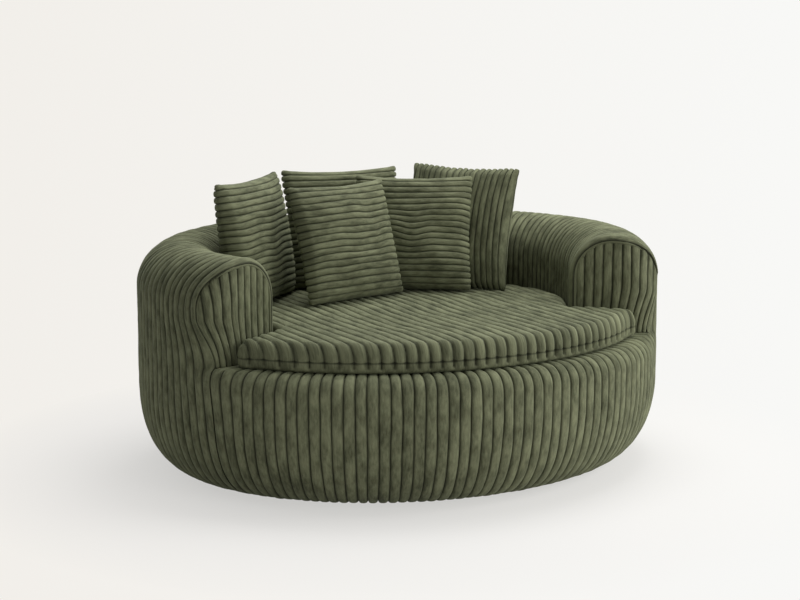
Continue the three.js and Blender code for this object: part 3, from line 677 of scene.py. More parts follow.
def wall_piece():
    path = wall_path(0, wall_rows)
    inner = wall_path(cover_thickness, (wall_rows + 1) // 2)
    along = lengths_along(path)
    length = plan_length(arm_end, left_arm_end)
    ribs = round(length / rib_pitch)
    seam, radius, pull = wall_end(path)
    rib, phase, free = rib_columns(1, ribs - 1)
    profile, swell, wander = rib_surface(rib, phase, along, wall_seed)
    place = (rib + phase) / ribs * length + free * wander
    reach = fanned_ribs * rib_pitch
    near = np.maximum(0, 1 - place / reach)
    far = np.maximum(0, 1 - (length - place) / reach)
    place = place - seam * near + seam * far
    turn = turns_at(arm_end, left_arm_end, np.clip(place / length, 0, 1))
    depth = rib_depth * (1 - profile) - swell
    ahead = -np.minimum(place, length - place)
    side = np.where(place[:, 0] < length / 2, 1, -1)

    groove = -rib_pitch + seam * (1 - rib_pitch / reach)
    ahead_end, depth_end, shade_end = border_columns(groove, seam, radius)
    side_end = np.ones(len(ahead_end))
    side = between_borders(side_end, side, -side_end)
    turn = between_borders(end_turn(1, ahead_end), turn, end_turn(-1, ahead_end))
    # Painted shade: darker the deeper the cover lies, in the grooves and at the borders' seams
    shade = between_borders(shade_end, np.clip(depth / rib_depth, 0, 1), shade_end)
    depth = between_borders(depth_end, depth, depth_end)
    ahead = between_borders(ahead_end, ahead, ahead_end)
    inward = pull * nearness(seam - ahead, dimple_reach) ** 2
    points = sweep_ribbed(turn, np.maximum(ahead, 0), path, depth, inner, side, inward)
    foams = ("wall_foam_right", "wall_foam_back", "wall_foam_left")
    return swept_piece("wall_skin", points, shade, along, "wall_cover", *foams)


# Base front: the ribbed skin between the arms, rounded over its top edge

def front_piece():
    path = front_path(0, front_rows)
    inner = front_path(cover_thickness, (front_rows + 1) // 2)
    inset, height = path.T
    along = lengths_along(path)
    length = plan_length(left_arm_end, front_end)
    ribs = round(length / rib_pitch)
    rib, phase, free = rib_columns(0, ribs)
    profile, swell, wander = rib_surface(rib, phase, along, front_seed)
    share = (rib + phase) / ribs
    place = share * length
    near = fade(nearness(np.minimum(place, length - place), front_fan_reach))
    near = near * (1 - blend_between(inset, front_edge_radius, front_edge_radius + flange_fade))
    back = np.where(place < length / 2, 1, -1) * near * low_seam_ahead(height)
    inward = near * (low_seam_inset(height) - edge_inset(height))
    turn = turns_at(left_arm_end, front_end, share)
    turn = turn + (free * wander + back) / plan_speed(turn)
    on_top = blend_between(inset, rib_fade_inset, rib_fade_inset + flange_fade)
    ribbed = np.where(height > deck_height - front_edge_radius, 1 - on_top, 1)
    flat_depth = rib_depth / 2 * (1 - blend_between(inset, wall_thickness - flange_fade, wall_thickness))
    depth = ribbed * (rib_depth * (1 - profile) - swell) + (1 - ribbed) * flat_depth
    under = tuck_under / plan_speed(turn[:1])
    turn = np.concatenate([turn[:1] - under, turn, turn[-1:] + under])
    depth = np.concatenate([depth[:1] + tuck_under_dip, depth, depth[-1:] + tuck_under_dip])
    inward = np.concatenate([inward[:1], inward, inward[-1:]])
    points = sweep_ribbed(turn, np.zeros_like(depth), path, depth, inner, np.ones(len(turn)), inward)
    # Painted shade: darker the deeper the cover lies, in the grooves, on the flat flange and at the tucked
    # ends
    shade = np.clip(depth / rib_depth, 0, 1)
    return swept_piece("base_front_skin", points, shade, along, "base_front_cover", "base_front_foam")


# Panels inside the arches of the arms' ends

def corner_curve():
    """The arm's end in plan, from the seam on its outside to the seam on its inside."""
    start = math.acos(1 - corner_start_inset / corner_radius)
    angle = np.linspace(start, math.pi / 2, panel_corner_steps)
    inset = corner_radius * (1 - np.cos(angle))
    flat_end = wall_thickness - border_radius - outer_border_radius
    inset = np.concatenate([inset, np.linspace(corner_radius, flat_end, panel_flat_steps)[1:]])
    return inset, lengths_along(np.stack([corner_ahead(inset), inset], axis=1))


def panel_piece(side, name, *nodes):
    insets, lengths = corner_curve()
    rib, phase, free = rib_columns(0, panel_ribs)
    share = (rib + phase) / panel_ribs
    top = arch_height(np.interp(share * lengths[-1], lengths, insets))
    height = deck_height + (top - deck_height) * np.linspace(0, 1, panel_rows)
    seam = np.interp(low_seam_inset(height), insets, lengths)
    profile, swell, wander = rib_surface(rib, phase, height, panel_seed + side)
    length = share * lengths[-1] + (1 - share) ** 2 * seam + free * wander
    inset = np.interp(length, lengths, insets)
    near_arch = nearness(top - height, dome_height) ** 2
    ahead = corner_ahead(inset) * (1 - near_arch) + seam_ahead(inset) * near_arch
    base = at_arm_end(side, ahead, inset, height)
    edge = np.minimum(lengths[-1] - length, top - height)
    dip = panel_dip * nearness(edge, panel_dip_width) ** 2
    dip = dip + outer_panel_dip * nearness(length - seam, panel_dip_width) ** 2
    depth = rib_depth * (1 - profile) - swell + dip
    base = np.concatenate([base[:1] + tuck_under * unit(base[:1] - base[1:2]), base])
    depth = np.concatenate([depth[:1] + tuck_under_dip, depth])
    nap = np.zeros((*depth.shape, 3))
    nap[..., 0] = np.concatenate([rib[:1], rib + phase])
    nap[..., 1] = np.concatenate([height[:1], height])
    # Painted shade: darker by depth in the grooves and the dips beside the seams, and fully dark on the
    # panel's back
    groove = np.clip(depth / rib_depth, 0, 1)
    points, faces = shell_from_grid(base, depth, cover_thickness - rib_depth, np.array([side, -1, 0]))
    piece = add_piece(name, points, faces, "chair", np.stack([nap, nap]),
                      np.stack([groove, np.ones_like(groove)]))
    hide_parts(*nodes)
    return piece


def shell_from_grid(base, depth, thickness, outward):
    """A closed shell: a grid pressed in by depth, its back and its rim."""
    normal = grid_normals(base, outward)
    front = base - depth[..., None] * normal
    back = base - (np.maximum(depth, 0) + thickness)[..., None] * normal
    turned = np.cross(base[1, 0] - base[0, 0], base[0, 1] - base[0, 0])
    flip = np.dot(turned, normal[0, 0]) < 0
    return np.stack([front, back]), closed_faces(*base.shape[:2], flip)


# Seat pad

def round_corner(before, corner, after, radius):
    """Points of an arc that touches both sides of a corner."""
    to_before = unit(before - corner)
    to_after = unit(after - corner)
    half = math.acos(np.dot(to_before, to_after)) / 2
    centre = unit(to_before + to_after) * radius / math.sin(half)
    start = to_before * radius / math.tan(half) - centre
    end = to_after * radius / math.tan(half) - centre
    sweep = math.pi - 2 * half
    share = np.linspace(0, 1, corner_steps)[:, None]
    arm = (np.sin((1 - share) * sweep) * start + np.sin(share * sweep) * end) / math.sin(sweep)
    return corner + centre + arm


def turns_inside(start, end, margin, count):
    """Turns at even steps along the oval's edge, a margin away from both ends."""
    first = start + margin / plan_speed(start)
    last = end - margin / plan_speed(end)
    return turns_at(first, last, np.linspace(0, 1, count))


def pad_outline():
    """The pad's plan at an even step: ear, wall side, ear and front, turning left all the way."""
    corners = []
    for side in (1, -1):
        insets = np.array([pad_tip_inset, wall_thickness + pad_gap])
        flat = np.zeros(2)
        corners.append(at_arm_end(side, flat + pad_ahead, insets, flat)[:, :2])
    wall_turns = turns_inside(arm_end, left_arm_end, pad_neck_radius, pad_wall_steps)
    wall_side = plan_point(wall_turns, wall_thickness + pad_gap)
    front_turns = turns_inside(left_arm_end, front_end, pad_ear_margin, pad_front_steps)
    front = plan_point(front_turns, pad_front_inset)
    (tip_right, neck_right), (tip_left, neck_left) = corners
    outline = np.concatenate([
        round_corner(front[-1], tip_right, neck_right, pad_ear_radius),
        round_corner(tip_right, neck_right, wall_side[0], pad_neck_radius),
        wall_side,
        round_corner(wall_side[-1], neck_left, tip_left, pad_neck_radius),
        round_corner(neck_left, tip_left, front[0], pad_ear_radius),
        front,
    ])
    closed = np.concatenate([outline, outline[:1]])
    count = round(lengths_along(closed)[-1] / outline_step)
    return resample_open(closed, count + 1)[:-1]


def outline_normals(outline):
    """Unit normals that point out of an outline that turns left."""
    return -left_of(np.roll(outline, -1, axis=0) - np.roll(outline, 1, axis=0))


def inside_outline(points, outline):
    x = points[:, 0][:, None]
    y = points[:, 1][:, None]
    x0, y0 = outline.T
    x1, y1 = np.roll(outline, -1, axis=0).T
    crosses = (y0 > y) != (y1 > y)
    with np.errstate(divide="ignore", invalid="ignore"):
        at = x0 + (y - y0) * (x1 - x0) / (y1 - y0)
    return (np.sum(crosses & (x < at), axis=1) % 2) == 1


def fill_faces(outline, inner_points, outline_start, inner_start):
    """Triangles between an outline and points inside it, from where both are stored."""
    points = [Vector(p) for p in np.concatenate([outline, inner_points])]
    count = len(outline)
    edges = [(k, (k + 1) % count) for k in range(count)]
    inside_only = 1
    made = delaunay_2d_cdt(points, edges, [], inside_only, merge_distance)
    starts = np.repeat([outline_start, inner_start - count], [count, len(inner_points)])
    stored = (starts + np.arange(len(points))).tolist()
    return [[stored[made[3][k][0]] for k in face] for face in made[2]]


def pad_wave(points):
    """How far the pad's rib lines stray, with the slow waves of a loose cover."""
    return pad_rib_wave * plan_noise(points, pad_rib_wave_lengths, pad_wave_seed)


def across_pad(points):
    """Ribs counted across the pad, from the middle."""
    straight = points[..., 0] * math.cos(pad_rib_turn) + points[..., 1] * math.sin(pad_rib_turn)
    return (straight + pad_wave(points)) / rib_pitch


def along_pad(points):
    return points[..., 1] * math.cos(pad_rib_turn) - points[..., 0] * math.sin(pad_rib_turn)


def pad_top_height(points):
    across = across_pad(points) * rib_pitch
    wave = pad_top_wave * plan_noise(points, pad_top_wave_lengths, pad_top_seed)
    return pad_top + pad_crown * (1 - (across / half_width) ** 2) + wave


def pad_ribs(points, fullness):
    across = across_pad(points)
    rib = np.floor(across + rounding_room)
    phase = np.clip(across - rib, 0, 1)
    profile, swell, _ = rib_surface(rib, phase, along_pad(points), pad_rib_seed, fullness)
    return profile, swell


def pad_levels():
    """Inset, height, slope angle and seam dip of the rings, from the underside to the top."""
    levels = []
    for angle in arc_points(-90, 0, pad_bottom_steps):
        inset = pad_bottom_rounding * (1 - math.cos(angle))
        levels.append((inset, pad_bottom + pad_bottom_rounding * (1 + math.sin(angle)), angle, 0))
    low = pad_bottom + pad_bottom_rounding
    high = pad_top - pad_top_drop
    seam = pad_bottom + pad_seam_height
    for above, dip in pad_seam_dip_shares:
        if low < seam + above < high:
            levels.append((0, seam + above, 0, dip))
    for angle in arc_points(0, 90, pad_top_steps):
        inset = pad_top_rounding * (1 - math.cos(angle))
        levels.append((inset, high + pad_top_drop * math.sin(angle), angle, 0))
    levels.append((pad_margin, pad_top, math.pi / 2, 0))
    return levels


def pad_rings(outline):
    """Closed rings of points from the underside to the rim of the top, and their painted shade."""
    normals = outline_normals(outline)
    facing = np.abs(normals @ [-math.sin(pad_rib_turn), math.cos(pad_rib_turn)])
    rings, shades = [], []
    for inset, height, angle, dip in pad_levels():
        plan = outline - inset * normals
        profile, swell = pad_ribs(plan, pad_edge_fullness)
        upward = max(0, math.sin(angle))
        strength = (facing + (1 - facing) * upward) * (angle >= 0)
        depth = pad_edge_rib_depth + (rib_depth - pad_edge_rib_depth) * upward
        down = strength * (depth * (1 - profile) - swell) + pad_seam_dip * dip
        lift = (pad_top_height(plan) - pad_top) * (height - pad_bottom) / pad_thickness
        plan = plan - normals * (down * math.cos(angle))[:, None]
        rings.append(np.column_stack([plan, height + lift - down * math.sin(angle)]))
        # Painted shade in the rib grooves and the seam's dip
        shades.append(np.clip(strength * (1 - profile) + pad_seam_shade * dip, 0, 1))
    return rings, shades


def pad_piece():
    outline = pad_outline()
    count = len(outline)
    rings, shades = pad_rings(outline)
    rim = shrink(outline, pad_margin)
    inner = pad_top_grid(rim)
    profile, swell = pad_ribs(inner, pad_top_fullness)
    top = np.column_stack([inner, pad_top_height(inner) - rib_depth * (1 - profile) + swell])
    under_rim = rings[0][:, :2]
    under = under_grid(under_rim)
    bottom = np.column_stack([under, under_height(under)])

    points = np.concatenate(rings + [top, bottom])
    last = (len(rings) - 1) * count
    faces = []
    for start in range(0, last, count):
        for j in range(count):
            n = (j + 1) % count
            faces.append([start + j, start + n, start + count + n, start + count + j])
    faces += fill_faces(rim, inner, last, last + count)
    for face in fill_faces(under_rim, under, 0, last + count + len(inner)):
        faces.append(face[::-1])
    # Painted shade: the top's grooves, and an even painted shade on the underside
    groove = np.concatenate(shades + [1 - profile, np.full(len(under), pad_under_shade)])
    plan, height = points[:, :2], points[:, 2]
    nap = np.column_stack([across_pad(plan), along_pad(plan) - height, height * 0])
    piece = add_piece("seat_pad", points, faces, "seat_cushion", nap, groove)
    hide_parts("seat_pad_cover", "seat_pad_foam")
    return piece


def pad_top_grid(rim):
    """Points in line with the ribs, inside the rim."""
    reach = math.ceil(half_width / rib_pitch)
    rib, phase, _ = rib_columns(-reach, reach)
    rows = np.arange(-half_depth, half_depth, pad_row_step)
    u, v = np.meshgrid((rib + phase) * rib_pitch, rows, indexing="ij")
    direction = np.array([math.cos(pad_rib_turn), math.sin(pad_rib_turn)])
    straight = u[..., None] * direction + v[..., None] * np.array([-direction[1], direction[0]])
    points = straight
    for _ in range(settling_rounds):
        points = straight - pad_wave(points)[..., None] * direction
    points = points.reshape(-1, 2)
    return points[inside_outline(points, shrink(rim, outline_step / 2))]


def shrink(outline, distance):
    return outline - distance * outline_normals(outline)


def under_grid(rim):
    rows = np.arange(-half_depth, half_depth, under_step)
    rows = rows[np.abs(rows - zip_place) > pad_zip_end_slope]
    near = zip_place + np.concatenate([-pad_zip_rows[::-1], [0], pad_zip_rows])
    x, y = np.meshgrid(np.arange(-half_width, half_width, under_step / 2), np.concatenate([rows, near]))
    points = np.column_stack([x.ravel(), y.ravel()])
    return points[inside_outline(points, shrink(rim, outline_step))]


def under_height(points):
    """The underside, raised to the zip's tape along the zip."""
    x, y = np.abs(points - [0, zip_place]).T
    aside = 1 - blend_between(y, pad_zip_half_width, pad_zip_slope_end)
    ends = 1 - blend_between(x, pad_zip_half_length, pad_zip_half_length + pad_zip_end_slope)
    return pad_bottom + pad_zip_rise * aside * ends


# Pillows

def plain_sheets(side, thickness):
    """Two sheets of places of a plain stuffed square."""
    places = np.linspace(-1, 1, pillow_grid + 1)
    a, b = np.meshgrid(places, places, indexing="ij")
    crown = np.clip((1 - a * a) * (1 - b * b), 0, 1) ** pillow_fullness
    x = b * (side / 2 - pillow_start_pull * (1 - a * a))
    z = a * (side / 2 - pillow_start_pull * (1 - b * b))
    return np.stack([np.stack([x, sign * thickness / 2 * crown, z], axis=-1) for sign in (-1, 1)])


def sewn_mesh(sheets):
    """A mesh of both sheets with one rim, and the index of each place's point."""
    count = sheets.shape[1] - 1
    index = np.arange(2 * (count + 1) ** 2).reshape(2, count + 1, count + 1)
    for rim in (np.s_[0, :], np.s_[count, :], np.s_[:, 0], np.s_[:, count]):
        index[1][rim] = index[0][rim]
    used, packed = np.unique(index, return_inverse=True)
    index = packed.reshape(index.shape)
    corners = [index[:, :-1, :-1], index[:, :-1, 1:], index[:, 1:, 1:], index[:, 1:, :-1]]
    near, far = np.stack(corners, axis=-1).reshape(2, -1, 4)
    faces = near.tolist() + far[:, ::-1].tolist()
    return new_mesh("pillow_cloth", sheets.reshape(-1, 3)[used], faces), index


def inflate_sheets():
    """A square pillow blown up as cloth, as two sheets of places."""
    start = plain_sheets(large_side, pillow_start_thickness)
    mesh, index = sewn_mesh(start)
    cloth = add_object("pillow_cloth", mesh)
    modifier = cloth.modifiers.new("cloth", "CLOTH")
    for key, value in pillow_cloth.items():
        setattr(modifier.settings, key, value)
    modifier.settings.effector_weights.gravity = 0
    modifier.point_cache.frame_start = 1
    modifier.point_cache.frame_end = pillow_frames
    for number in range(1, pillow_frames + 1):
        bpy.context.scene.frame_set(number)
    shown = cloth.evaluated_get(bpy.context.evaluated_depsgraph_get())
    found = np.array([v.co[:] for v in shown.data.vertices])[index]
    bpy.data.objects.remove(cloth)
    bpy.data.meshes.remove(mesh)
    bpy.context.scene.frame_set(1)
    moved = found - start
    distance = np.linalg.norm(moved, axis=-1, keepdims=True)
    return start + moved * np.minimum(1, pillow_cap / np.maximum(distance, smallest))


def fit_sheets(sheets, side):
    """Scales blown-up sheets to a pillow's side and thickness."""
    low = sheets.min(axis=(0, 1, 2))
    high = sheets.max(axis=(0, 1, 2))
    size = np.array([side, pillow_thickness - 2 * pillow_seam, side])
    return (sheets - (low + high) / 2) * size / (high - low)


def spline_weights(count, places):
    """Catmull-Rom weights that read a row of count points at the given places, from 0 to 1."""
    at = places * (count - 1)
    start = np.clip(np.floor(at).astype(int), 0, count - 2)
    t = at - start
    curves = [
        -0.5 * t + t ** 2 - 0.5 * t ** 3,
        1 - 2.5 * t ** 2 + 1.5 * t ** 3,
        0.5 * t + 2 * t ** 2 - 1.5 * t ** 3,
        -0.5 * t ** 2 + 0.5 * t ** 3,
    ]
    weights = np.zeros((len(at), count))
    for offset, curve in zip((-1, 0, 1, 2), curves):
        np.add.at(weights, (np.arange(len(at)), np.clip(start + offset, 0, count - 1)), curve)
    return weights


def pillow_surface(sheets, side, ribs, seed):
    """Both ribbed sheets of a pillow that stands upright, with their nap and groove values."""
    rib, phase, _ = rib_columns(0, ribs)
    across = (rib + phase)[:, 0] / ribs
    rows = np.linspace(0, 1, pillow_rows + 1)
    profile, swell, wander = rib_surface(rib, phase, rows * side, seed, pillow_rib_fullness)
    read_across = spline_weights(pillow_grid + 1, across)
    read_along = spline_weights(pillow_grid + 1, rows)
    a = (2 * across - 1)[:, None]
    b = 2 * rows - 1
    rim = np.maximum(np.abs(a), np.abs(b))
    end_rim = np.clip((np.abs(b) - pillow_end_start) / (1 - pillow_end_start), 0, 1)
    dents = smooth_noise(a * dent_pace + dent_shift, b * dent_pace + dent_shift, seed + 5)
    bows = smooth_noise(a * bow_pace_across + bow_shift, b * bow_pace_along + bow_shift, seed + 6)
    stand = pillow_rib_depth * (profile - 1) + swell + pillow_dent * dents * (1 - rim ** 2)
    stand = stand + end_rim * pillow_rib_depth * pillow_end_dip_share
    corner = pillow_corner_pull * (a * b) ** pillow_corner_power
    points = []
    for sheet, outward in zip(fit_sheets(sheets, side), (-1, 1)):
        smooth = np.einsum("ai,bj,ijk->abk", read_across, read_along, sheet)
        placed = smooth + grid_normals(smooth, np.array([0, outward, 0])) * stand[..., None]
        flat = pillow_seam * (pillow_seam_share + profile)
        placed[..., 1] = outward * np.maximum(outward * placed[..., 1], flat)
        placed[..., 0] += np.sign(b) * end_rim * pillow_scallop * (profile - pillow_scallop_middle)
        placed[..., 2] += (wander + pillow_rib_bow * bows * (1 - a ** 2)) * (1 - a ** 2)
        placed[..., 0] -= np.sign(b) * corner
        placed[..., 2] -= np.sign(a) * corner
        points.append(placed)
    nap = np.empty((2, *stand.shape, 3))
    nap[..., 0] = (np.arange(len(across)) / columns_per_rib)[:, None] + pillow_nap_start
    nap[..., 1] = rows * side
    nap[..., 2] = seed
    # The groove values give painted shade down the ribs' grooves
    return np.stack(points), nap, np.broadcast_to(1 - profile, nap.shape[:3])


def pillow_piece(sheets, name, side, ribs, turn, lean, seed):
    """A pillow with its ribs across it or, on one of them, up it, turned and leaned back."""
    points, nap, groove = pillow_surface(sheets, side, ribs, seed)
    if name == pillow_with_upright_ribs:
        points = points[..., [2, 1, 0]] * np.array([1, 1, -1])
    low_share = np.clip(-2 * points[..., 2] / side, 0, 1) ** 2
    points[..., 2] -= pillow_rest * low_share * (1 - np.clip(2 * points[..., 0] / side, -1, 1) ** 2)
    low, high = [np.array(corner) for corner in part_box(f"pillow_{name}_cover")]
    place = Matrix.Translation(Vector((low + high) / 2 + np.array([pillow_shifts.get(name, 0), 0, 0])))
    place @= Matrix.Rotation(math.radians(turn), 4, "Z") @ Matrix.Rotation(math.radians(-lean), 4, "X")
    matrix = np.array(place)
    world = points @ matrix[:3, :3].T + matrix[:3, 3]
    faces = closed_faces(*groove.shape[1:], True)
    piece = add_piece(f"pillow_{name}", world, faces, f"pillow_{name}", nap, groove)
    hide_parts(f"pillow_{name}_cover", f"pillow_{name}_fill")
    return piece


def pillow_pieces():
    sheets = inflate_sheets()
    return [pillow_piece(sheets, **settings) for settings in pillows]


# Deck cloth and dust cover

def flat_sheet(name, inset, height, node, holes=()):
    turns = turns_at(0, 2 * np.pi, np.linspace(0, 1, sheet_outline_steps + 1)[:-1])
    outline = plan_point(turns, inset)
    x, y = [np.arange(-half, half, sheet_step) for half in (half_width, half_depth)]
    inner = np.stack(np.meshgrid(x, y), axis=-1).reshape(-1, 2)
    inner = inner[inside_outline(inner, shrink(outline, sheet_margin))]
    for hole in holes:
        inner = inner[np.linalg.norm(inner - hole, axis=1) > hole_spacing * glide_clear_radius]
    ring = arc_points(0, 360, hole_points + 1)[:-1]
    circle = np.column_stack([np.cos(ring), np.sin(ring)]) * glide_clear_radius
    inner = np.concatenate([inner] + [circle + hole for hole in holes])
    plan = np.concatenate([outline, inner])
    faces = []
    for face in fill_faces(outline, inner, 0, len(outline)):
        middle = plan[face].mean(axis=0)
        if all(np.linalg.norm(middle - hole) > glide_clear_radius * hole_clear_share for hole in holes):
            faces.append(face)
    wrinkle = sheet_wrinkle * plan_noise(plan, sheet_wrinkle_lengths, sheet_seed)
    piece = add_piece(name, np.column_stack([plan, height + wrinkle]), faces, "chair")
    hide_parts(node)
    return piece


# Materials

def new_material(name, roughness, specular):
    """A material with its node tree, its shader and the places on the object."""
    material = bpy.data.materials.new(name)
    material.use_nodes = True
    tree = material.node_tree
    shader = tree.nodes["Principled BSDF"]
    shader.inputs["Roughness"].default_value = roughness
    shader.inputs["Specular IOR Level"].default_value = specular
    return material, tree, shader, add_node(tree, "ShaderNodeTexCoord").outputs["Object"]


def feed(tree, socket, value):
    """Links a socket to another node's output, or sets it to a number, vector or colour."""
    if isinstance(value, bpy.types.NodeSocket):
        tree.links.new(value, socket)
    else:
        socket.default_value = (*value[:3], 1) if socket.type == "RGBA" else value


def add_node(tree, kind, *values, **named):
    """A node with its first sockets fed in order, and other sockets and settings by name."""
    node = tree.nodes.new(kind)
    for key, value in named.items():
        if key in node.inputs:
            feed(tree, node.inputs[key], value)
        else:
            setattr(node, key, value)
    for socket, value in zip(node.inputs, values):
        feed(tree, socket, value)
    return node


def noise_at(tree, vector, scale, detail, roughness=0.5):
    node = add_node(tree, "ShaderNodeTexNoise", vector, Scale=scale, Detail=detail, Roughness=roughness)
    return node.outputs["Fac"]


def stretched_noise(tree, vector, scales, detail, roughness=0.6):
    stretched = vector_math(tree, "MULTIPLY", vector, scales)["Vector"]
    return noise_at(tree, stretched, 1, detail, roughness)


def map_range(tree, value, low, high, to_low=0, to_high=1):
    return add_node(tree, "ShaderNodeMapRange", value, low, high, to_low, to_high).outputs["Result"]


def mottle(tree, place, scale, detail):
    """Noise spread out from 0 to 1."""
    return map_range(tree, noise_at(tree, place, scale, detail), *mottle_range)


def join_values(tree, operation, first, second):
    return add_node(tree, "ShaderNodeMath", first, second, operation=operation).outputs[0]


def vector_math(tree, operation, *vectors):
    return add_node(tree, "ShaderNodeVectorMath", *vectors, operation=operation).outputs


def mix_colors(tree, share, first, second):
    node = add_node(tree, "ShaderNodeMix", share, data_type="RGBA")
    feed(tree, node.inputs[6], first)
    feed(tree, node.inputs[7], second)
    return node.outputs[2]


def finish_shader(tree, shader, colour, relief, strength, distance):
    """Gives a shader its colour and its fine relief."""
    feed(tree, shader.inputs["Base Color"], colour)
    bump = add_node(tree, "ShaderNodeBump", Height=relief, Strength=strength, Distance=distance)
    feed(tree, shader.inputs["Normal"], bump.outputs["Normal"])


def corduroy_material():
    """Nap in patches, strokes along the ribs and broad clouds, with painted shade that darkens the colour
    by the groove value: down in the grooves, in seam dips and on undersides.
    """
    material, tree, shader, place = new_material("corduroy_olive", roughness=0.85, specular=0.2)
    for key, value in (("Weight", 0.18), ("Roughness", 0.45), ("Tint", olive_sheen)):
        feed(tree, shader.inputs[f"Sheen {key}"], value)
    nap = add_node(tree, "ShaderNodeAttribute", attribute_name="nap").outputs["Vector"]
    groove = add_node(tree, "ShaderNodeAttribute", attribute_name="groove").outputs["Fac"]
    patches = stretched_noise(tree, nap, patch_scales, detail=4)
    strokes = stretched_noise(tree, nap, stroke_scales, detail=3)
    clouds = noise_at(tree, place, cloud_scale, detail=2)
    patches = map_range(tree, patches, *nap_range, to_high=0.5)
    strokes = map_range(tree, strokes, *nap_range, to_high=0.25)
    clouds = map_range(tree, clouds, *mottle_range, to_high=0.25)
    tone = join_values(tree, "ADD", join_values(tree, "ADD", patches, strokes), clouds)
    # Painted shade: the colour turns to a darker olive where the groove value is high
    shade = map_range(tree, groove, *groove_range, to_high=0.9)
    painted_groove_shade_colour = tuple(c * groove_shade for c in olive_dark)
    colour = mix_colors(tree, shade, mix_colors(tree, tone, olive_dark, olive_light), painted_groove_shade_colour)
    fibres = noise_at(tree, place, fibre_scale, detail=3, roughness=0.6)
    pile = stretched_noise(tree, nap, pile_scales, detail=2, roughness=0.5)
    relief = join_values(tree, "ADD", fibres, join_values(tree, "MULTIPLY", pile, pile_strength))
    finish_shader(tree, shader, colour, relief, strength=0.35, distance=0.0012)
    return material


def plain_cloth_material(name, light, dark, weave):
    material, tree, shader, place = new_material(name, roughness=0.9, specular=0.15)
    colour = mix_colors(tree, mottle(tree, place, scale=40, detail=4), dark, light)
    threads = add_node(tree, "ShaderNodeTexWave", place, Scale=weave, Distortion=1.5)
    threads.bands_direction = "DIAGONAL"
    fuzz = noise_at(tree, place, scale=700, detail=2)
    relief = join_values(tree, "ADD", threads.outputs["Fac"], fuzz)
    finish_shader(tree, shader, colour, relief, strength=0.3, distance=0.0006)
    return material


def foam_material():
    material, tree, shader, place = new_material("foam_cells", roughness=0.95, specular=0.1)
    colour = mix_colors(tree, mottle(tree, place, scale=12, detail=3), foam_dark, foam_light)
    cells = add_node(tree, "ShaderNodeTexVoronoi", place, Scale=450).outputs["Distance"]
    finish_shader(tree, shader, colour, cells, strength=0.5, distance=0.001)
    return material


def plywood_material():
    material, tree, shader, place = new_material("plywood_grain", roughness=0.6, specular=0.3)
    grain = stretched_noise(tree, place, grain_scales, detail=4)
    colour = mix_colors(tree, map_range(tree, grain, *mottle_range), plywood_dark, plywood_light)
    finish_shader(tree, shader, colour, grain, strength=0.2, distance=0.0005)
    return material


def moulded_material(name, colour, roughness):
    material, tree, shader, place = new_material(name, roughness, specular=0.5)
    bright = tuple(c * moulded_light_share for c in colour)
    colour = mix_colors(tree, mottle(tree, place, scale=60, detail=3), colour, bright)
    grain = noise_at(tree, place, scale=1500, detail=2)
    finish_shader(tree, shader, colour, grain, strength=0.15, distance=0.0003)
    return material


def dress(obj, material):
    obj.data.materials.clear()
    obj.data.materials.append(material)


def dress_frame_nodes(materials):
    """Gives the carried-over nodes their finishes by the record's material slots."""
    for part in frame["record"]["subparts"]:
        if part["material_slot"] in materials:
            for slot in frame["nodes"][part["node"]].material_slots:
                slot.material = materials[part["material_slot"]]


# Stage, light and camera

def camera_axes():
    """The camera's place and the directions to its right and behind it."""
    right = Vector((math.cos(camera_azimuth), math.sin(camera_azimuth), 0))
    back = Vector((
        math.sin(camera_azimuth) * math.cos(camera_elevation),
        -math.cos(camera_azimuth) * math.cos(camera_elevation),
        math.sin(camera_elevation),
    ))
    target = Vector((0, 0, camera_target_height)) + right * camera_target_shift
    return target + back * camera_distance, right, back


def mix_shaders(tree, share, first, second):
    return add_node(tree, "ShaderNodeMixShader", share, first, second).outputs[0]


def white_to_camera(tree, shown, hidden):
    """A mix of two shaders: the first for camera, glossy and transmission rays."""
    rays = tree.nodes.new("ShaderNodeLightPath").outputs
    seen = join_values(tree, "MAXIMUM", rays["Is Camera Ray"], rays["Is Glossy Ray"])
    seen = join_values(tree, "MAXIMUM", seen, rays["Is Transmission Ray"])
    return mix_shaders(tree, seen, hidden, shown)


def light_world():
    world = bpy.data.worlds.new("studio")
    bpy.context.scene.world = world
    world.use_nodes = True
    tree = world.node_tree
    tree.nodes.clear()
    white = add_node(tree, "ShaderNodeBackground", backdrop_right, 1).outputs[0]
    soft = add_node(tree, "ShaderNodeBackground", (1, 1, 1), world_light).outputs[0]
    add_node(tree, "ShaderNodeOutputWorld", white_to_camera(tree, white, soft))


def floor_material():
    """A pale matt floor that fades into a white backdrop, with painted shade that makes it a little darker
    on the left.
    """
    material, tree, shader, place = new_material("floor_paint", roughness=0.95, specular=0)
    feed(tree, shader.inputs["Base Color"], floor_colour)
    eye, right, _ = camera_axes()
    sight = vector_math(tree, "SUBTRACT", place, eye)["Vector"]
    direction = vector_math(tree, "NORMALIZE", sight)["Vector"]
    aside = vector_math(tree, "DOT_PRODUCT", direction, right)["Value"]
    reach = vector_math(tree, "LENGTH", place)["Value"]
    across = map_range(tree, aside, -backdrop_spread, backdrop_spread)
    far = map_range(tree, reach, floor_fade_start, floor_fade_end)
    near_colour = mix_colors(tree, across, floor_left, floor_right)
    far_colour = mix_colors(tree, across, backdrop_left, backdrop_right)
    glow = add_node(tree, "ShaderNodeEmission", mix_colors(tree, far, near_colour, far_colour), 1)
    seen = white_to_camera(tree, glow.outputs[0], shader.outputs[0])
    white_share = map_range(tree, reach, floor_fade_start, floor_fade_end, to_low=floor_white_share)
    mixed = mix_shaders(tree, white_share, shader.outputs[0], seen)
    feed(tree, tree.nodes["Material Output"].inputs["Surface"], mixed)
    return material


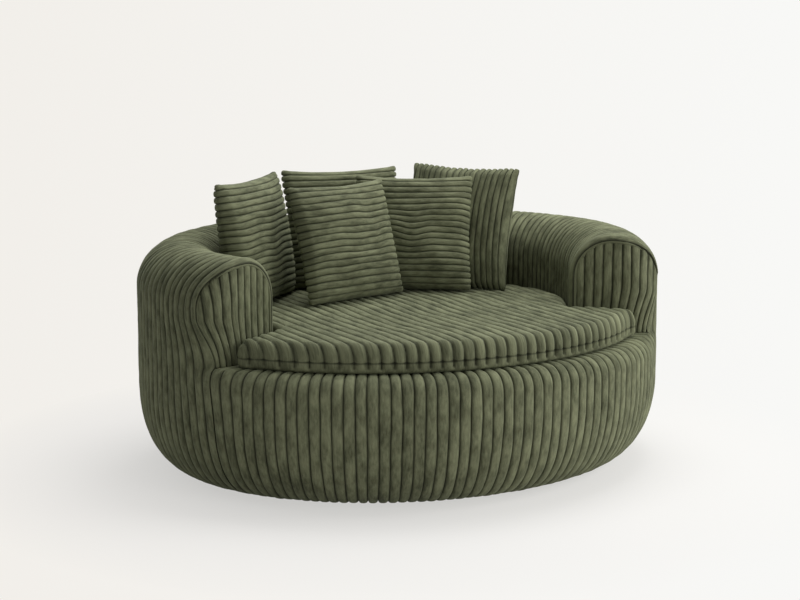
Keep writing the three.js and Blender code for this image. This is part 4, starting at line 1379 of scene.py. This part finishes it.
def lay_floor():
    corners = [(x * floor_reach, y * floor_reach, 0) for x, y in ((-1, -1), (1, -1), (1, 1), (-1, 1))]
    floor = add_object("floor", new_mesh("floor", corners, [(0, 1, 2, 3)]))
    dress(floor, floor_material())


def set_lights():
    for name, place, side, power in lamps:
        data = bpy.data.lights.new(name, "AREA")
        data.shape = "RECTANGLE"
        data.size = data.size_y = side
        data.energy = power
        light = add_object(name, data)
        light.location = place
        direction = Vector(lamp_target) - Vector(place)
        light.rotation_euler = direction.to_track_quat("-Z", "Y").to_euler()


def set_camera():
    place, _, back = camera_axes()
    data = bpy.data.cameras.new("camera")
    data.sensor_width = sensor_width
    data.lens = camera_focal_pixels / photo_width * sensor_width
    camera = add_object("camera", data)
    camera.location = place
    camera.rotation_euler = back.to_track_quat("Z", "Y").to_euler()
    bpy.context.scene.camera = camera
    bpy.context.scene.view_settings.view_transform = "Standard"


# Assembly

set_camera()
corduroy = corduroy_material()
lining = plain_cloth_material("lining_cloth", lining_light, lining_dark, weave=400)
dress_frame_nodes({
    "foam": foam_material(),
    "plywood": plywood_material(),
    "webbing": plain_cloth_material("webbing_weave", webbing_light, webbing_dark, weave=160),
    "lining": lining,
    "glide": moulded_material("glide_plastic", glide_colour, roughness=0.45),
    "zip": moulded_material("zip_nylon", zip_colour, roughness=0.5),
})

ribbed_pieces = [
    wall_piece(),
    front_piece(),
    panel_piece(1, "arm_panel_right", "arm_front_cover_right", "arm_front_foam_right"),
    panel_piece(-1, "arm_panel_left", "arm_front_cover_left", "arm_front_foam_left"),
    pad_piece(),
    *pillow_pieces(),
]
for piece in ribbed_pieces:
    dress(piece, corduroy)

glide_turns = 2 * math.pi * (np.arange(glide_count) + 0.5) / glide_count
glides = plan_point(glide_turns, glide_inset)
dress(flat_sheet("deck_lining", wall_thickness + clearance, deck_cloth_height, "deck_cloth"), lining)
dress(flat_sheet("dust_lining", base_panel_inset, dust_cover_height, "dust_cover", glides), lining)

light_world()
lay_floor()
set_lights()
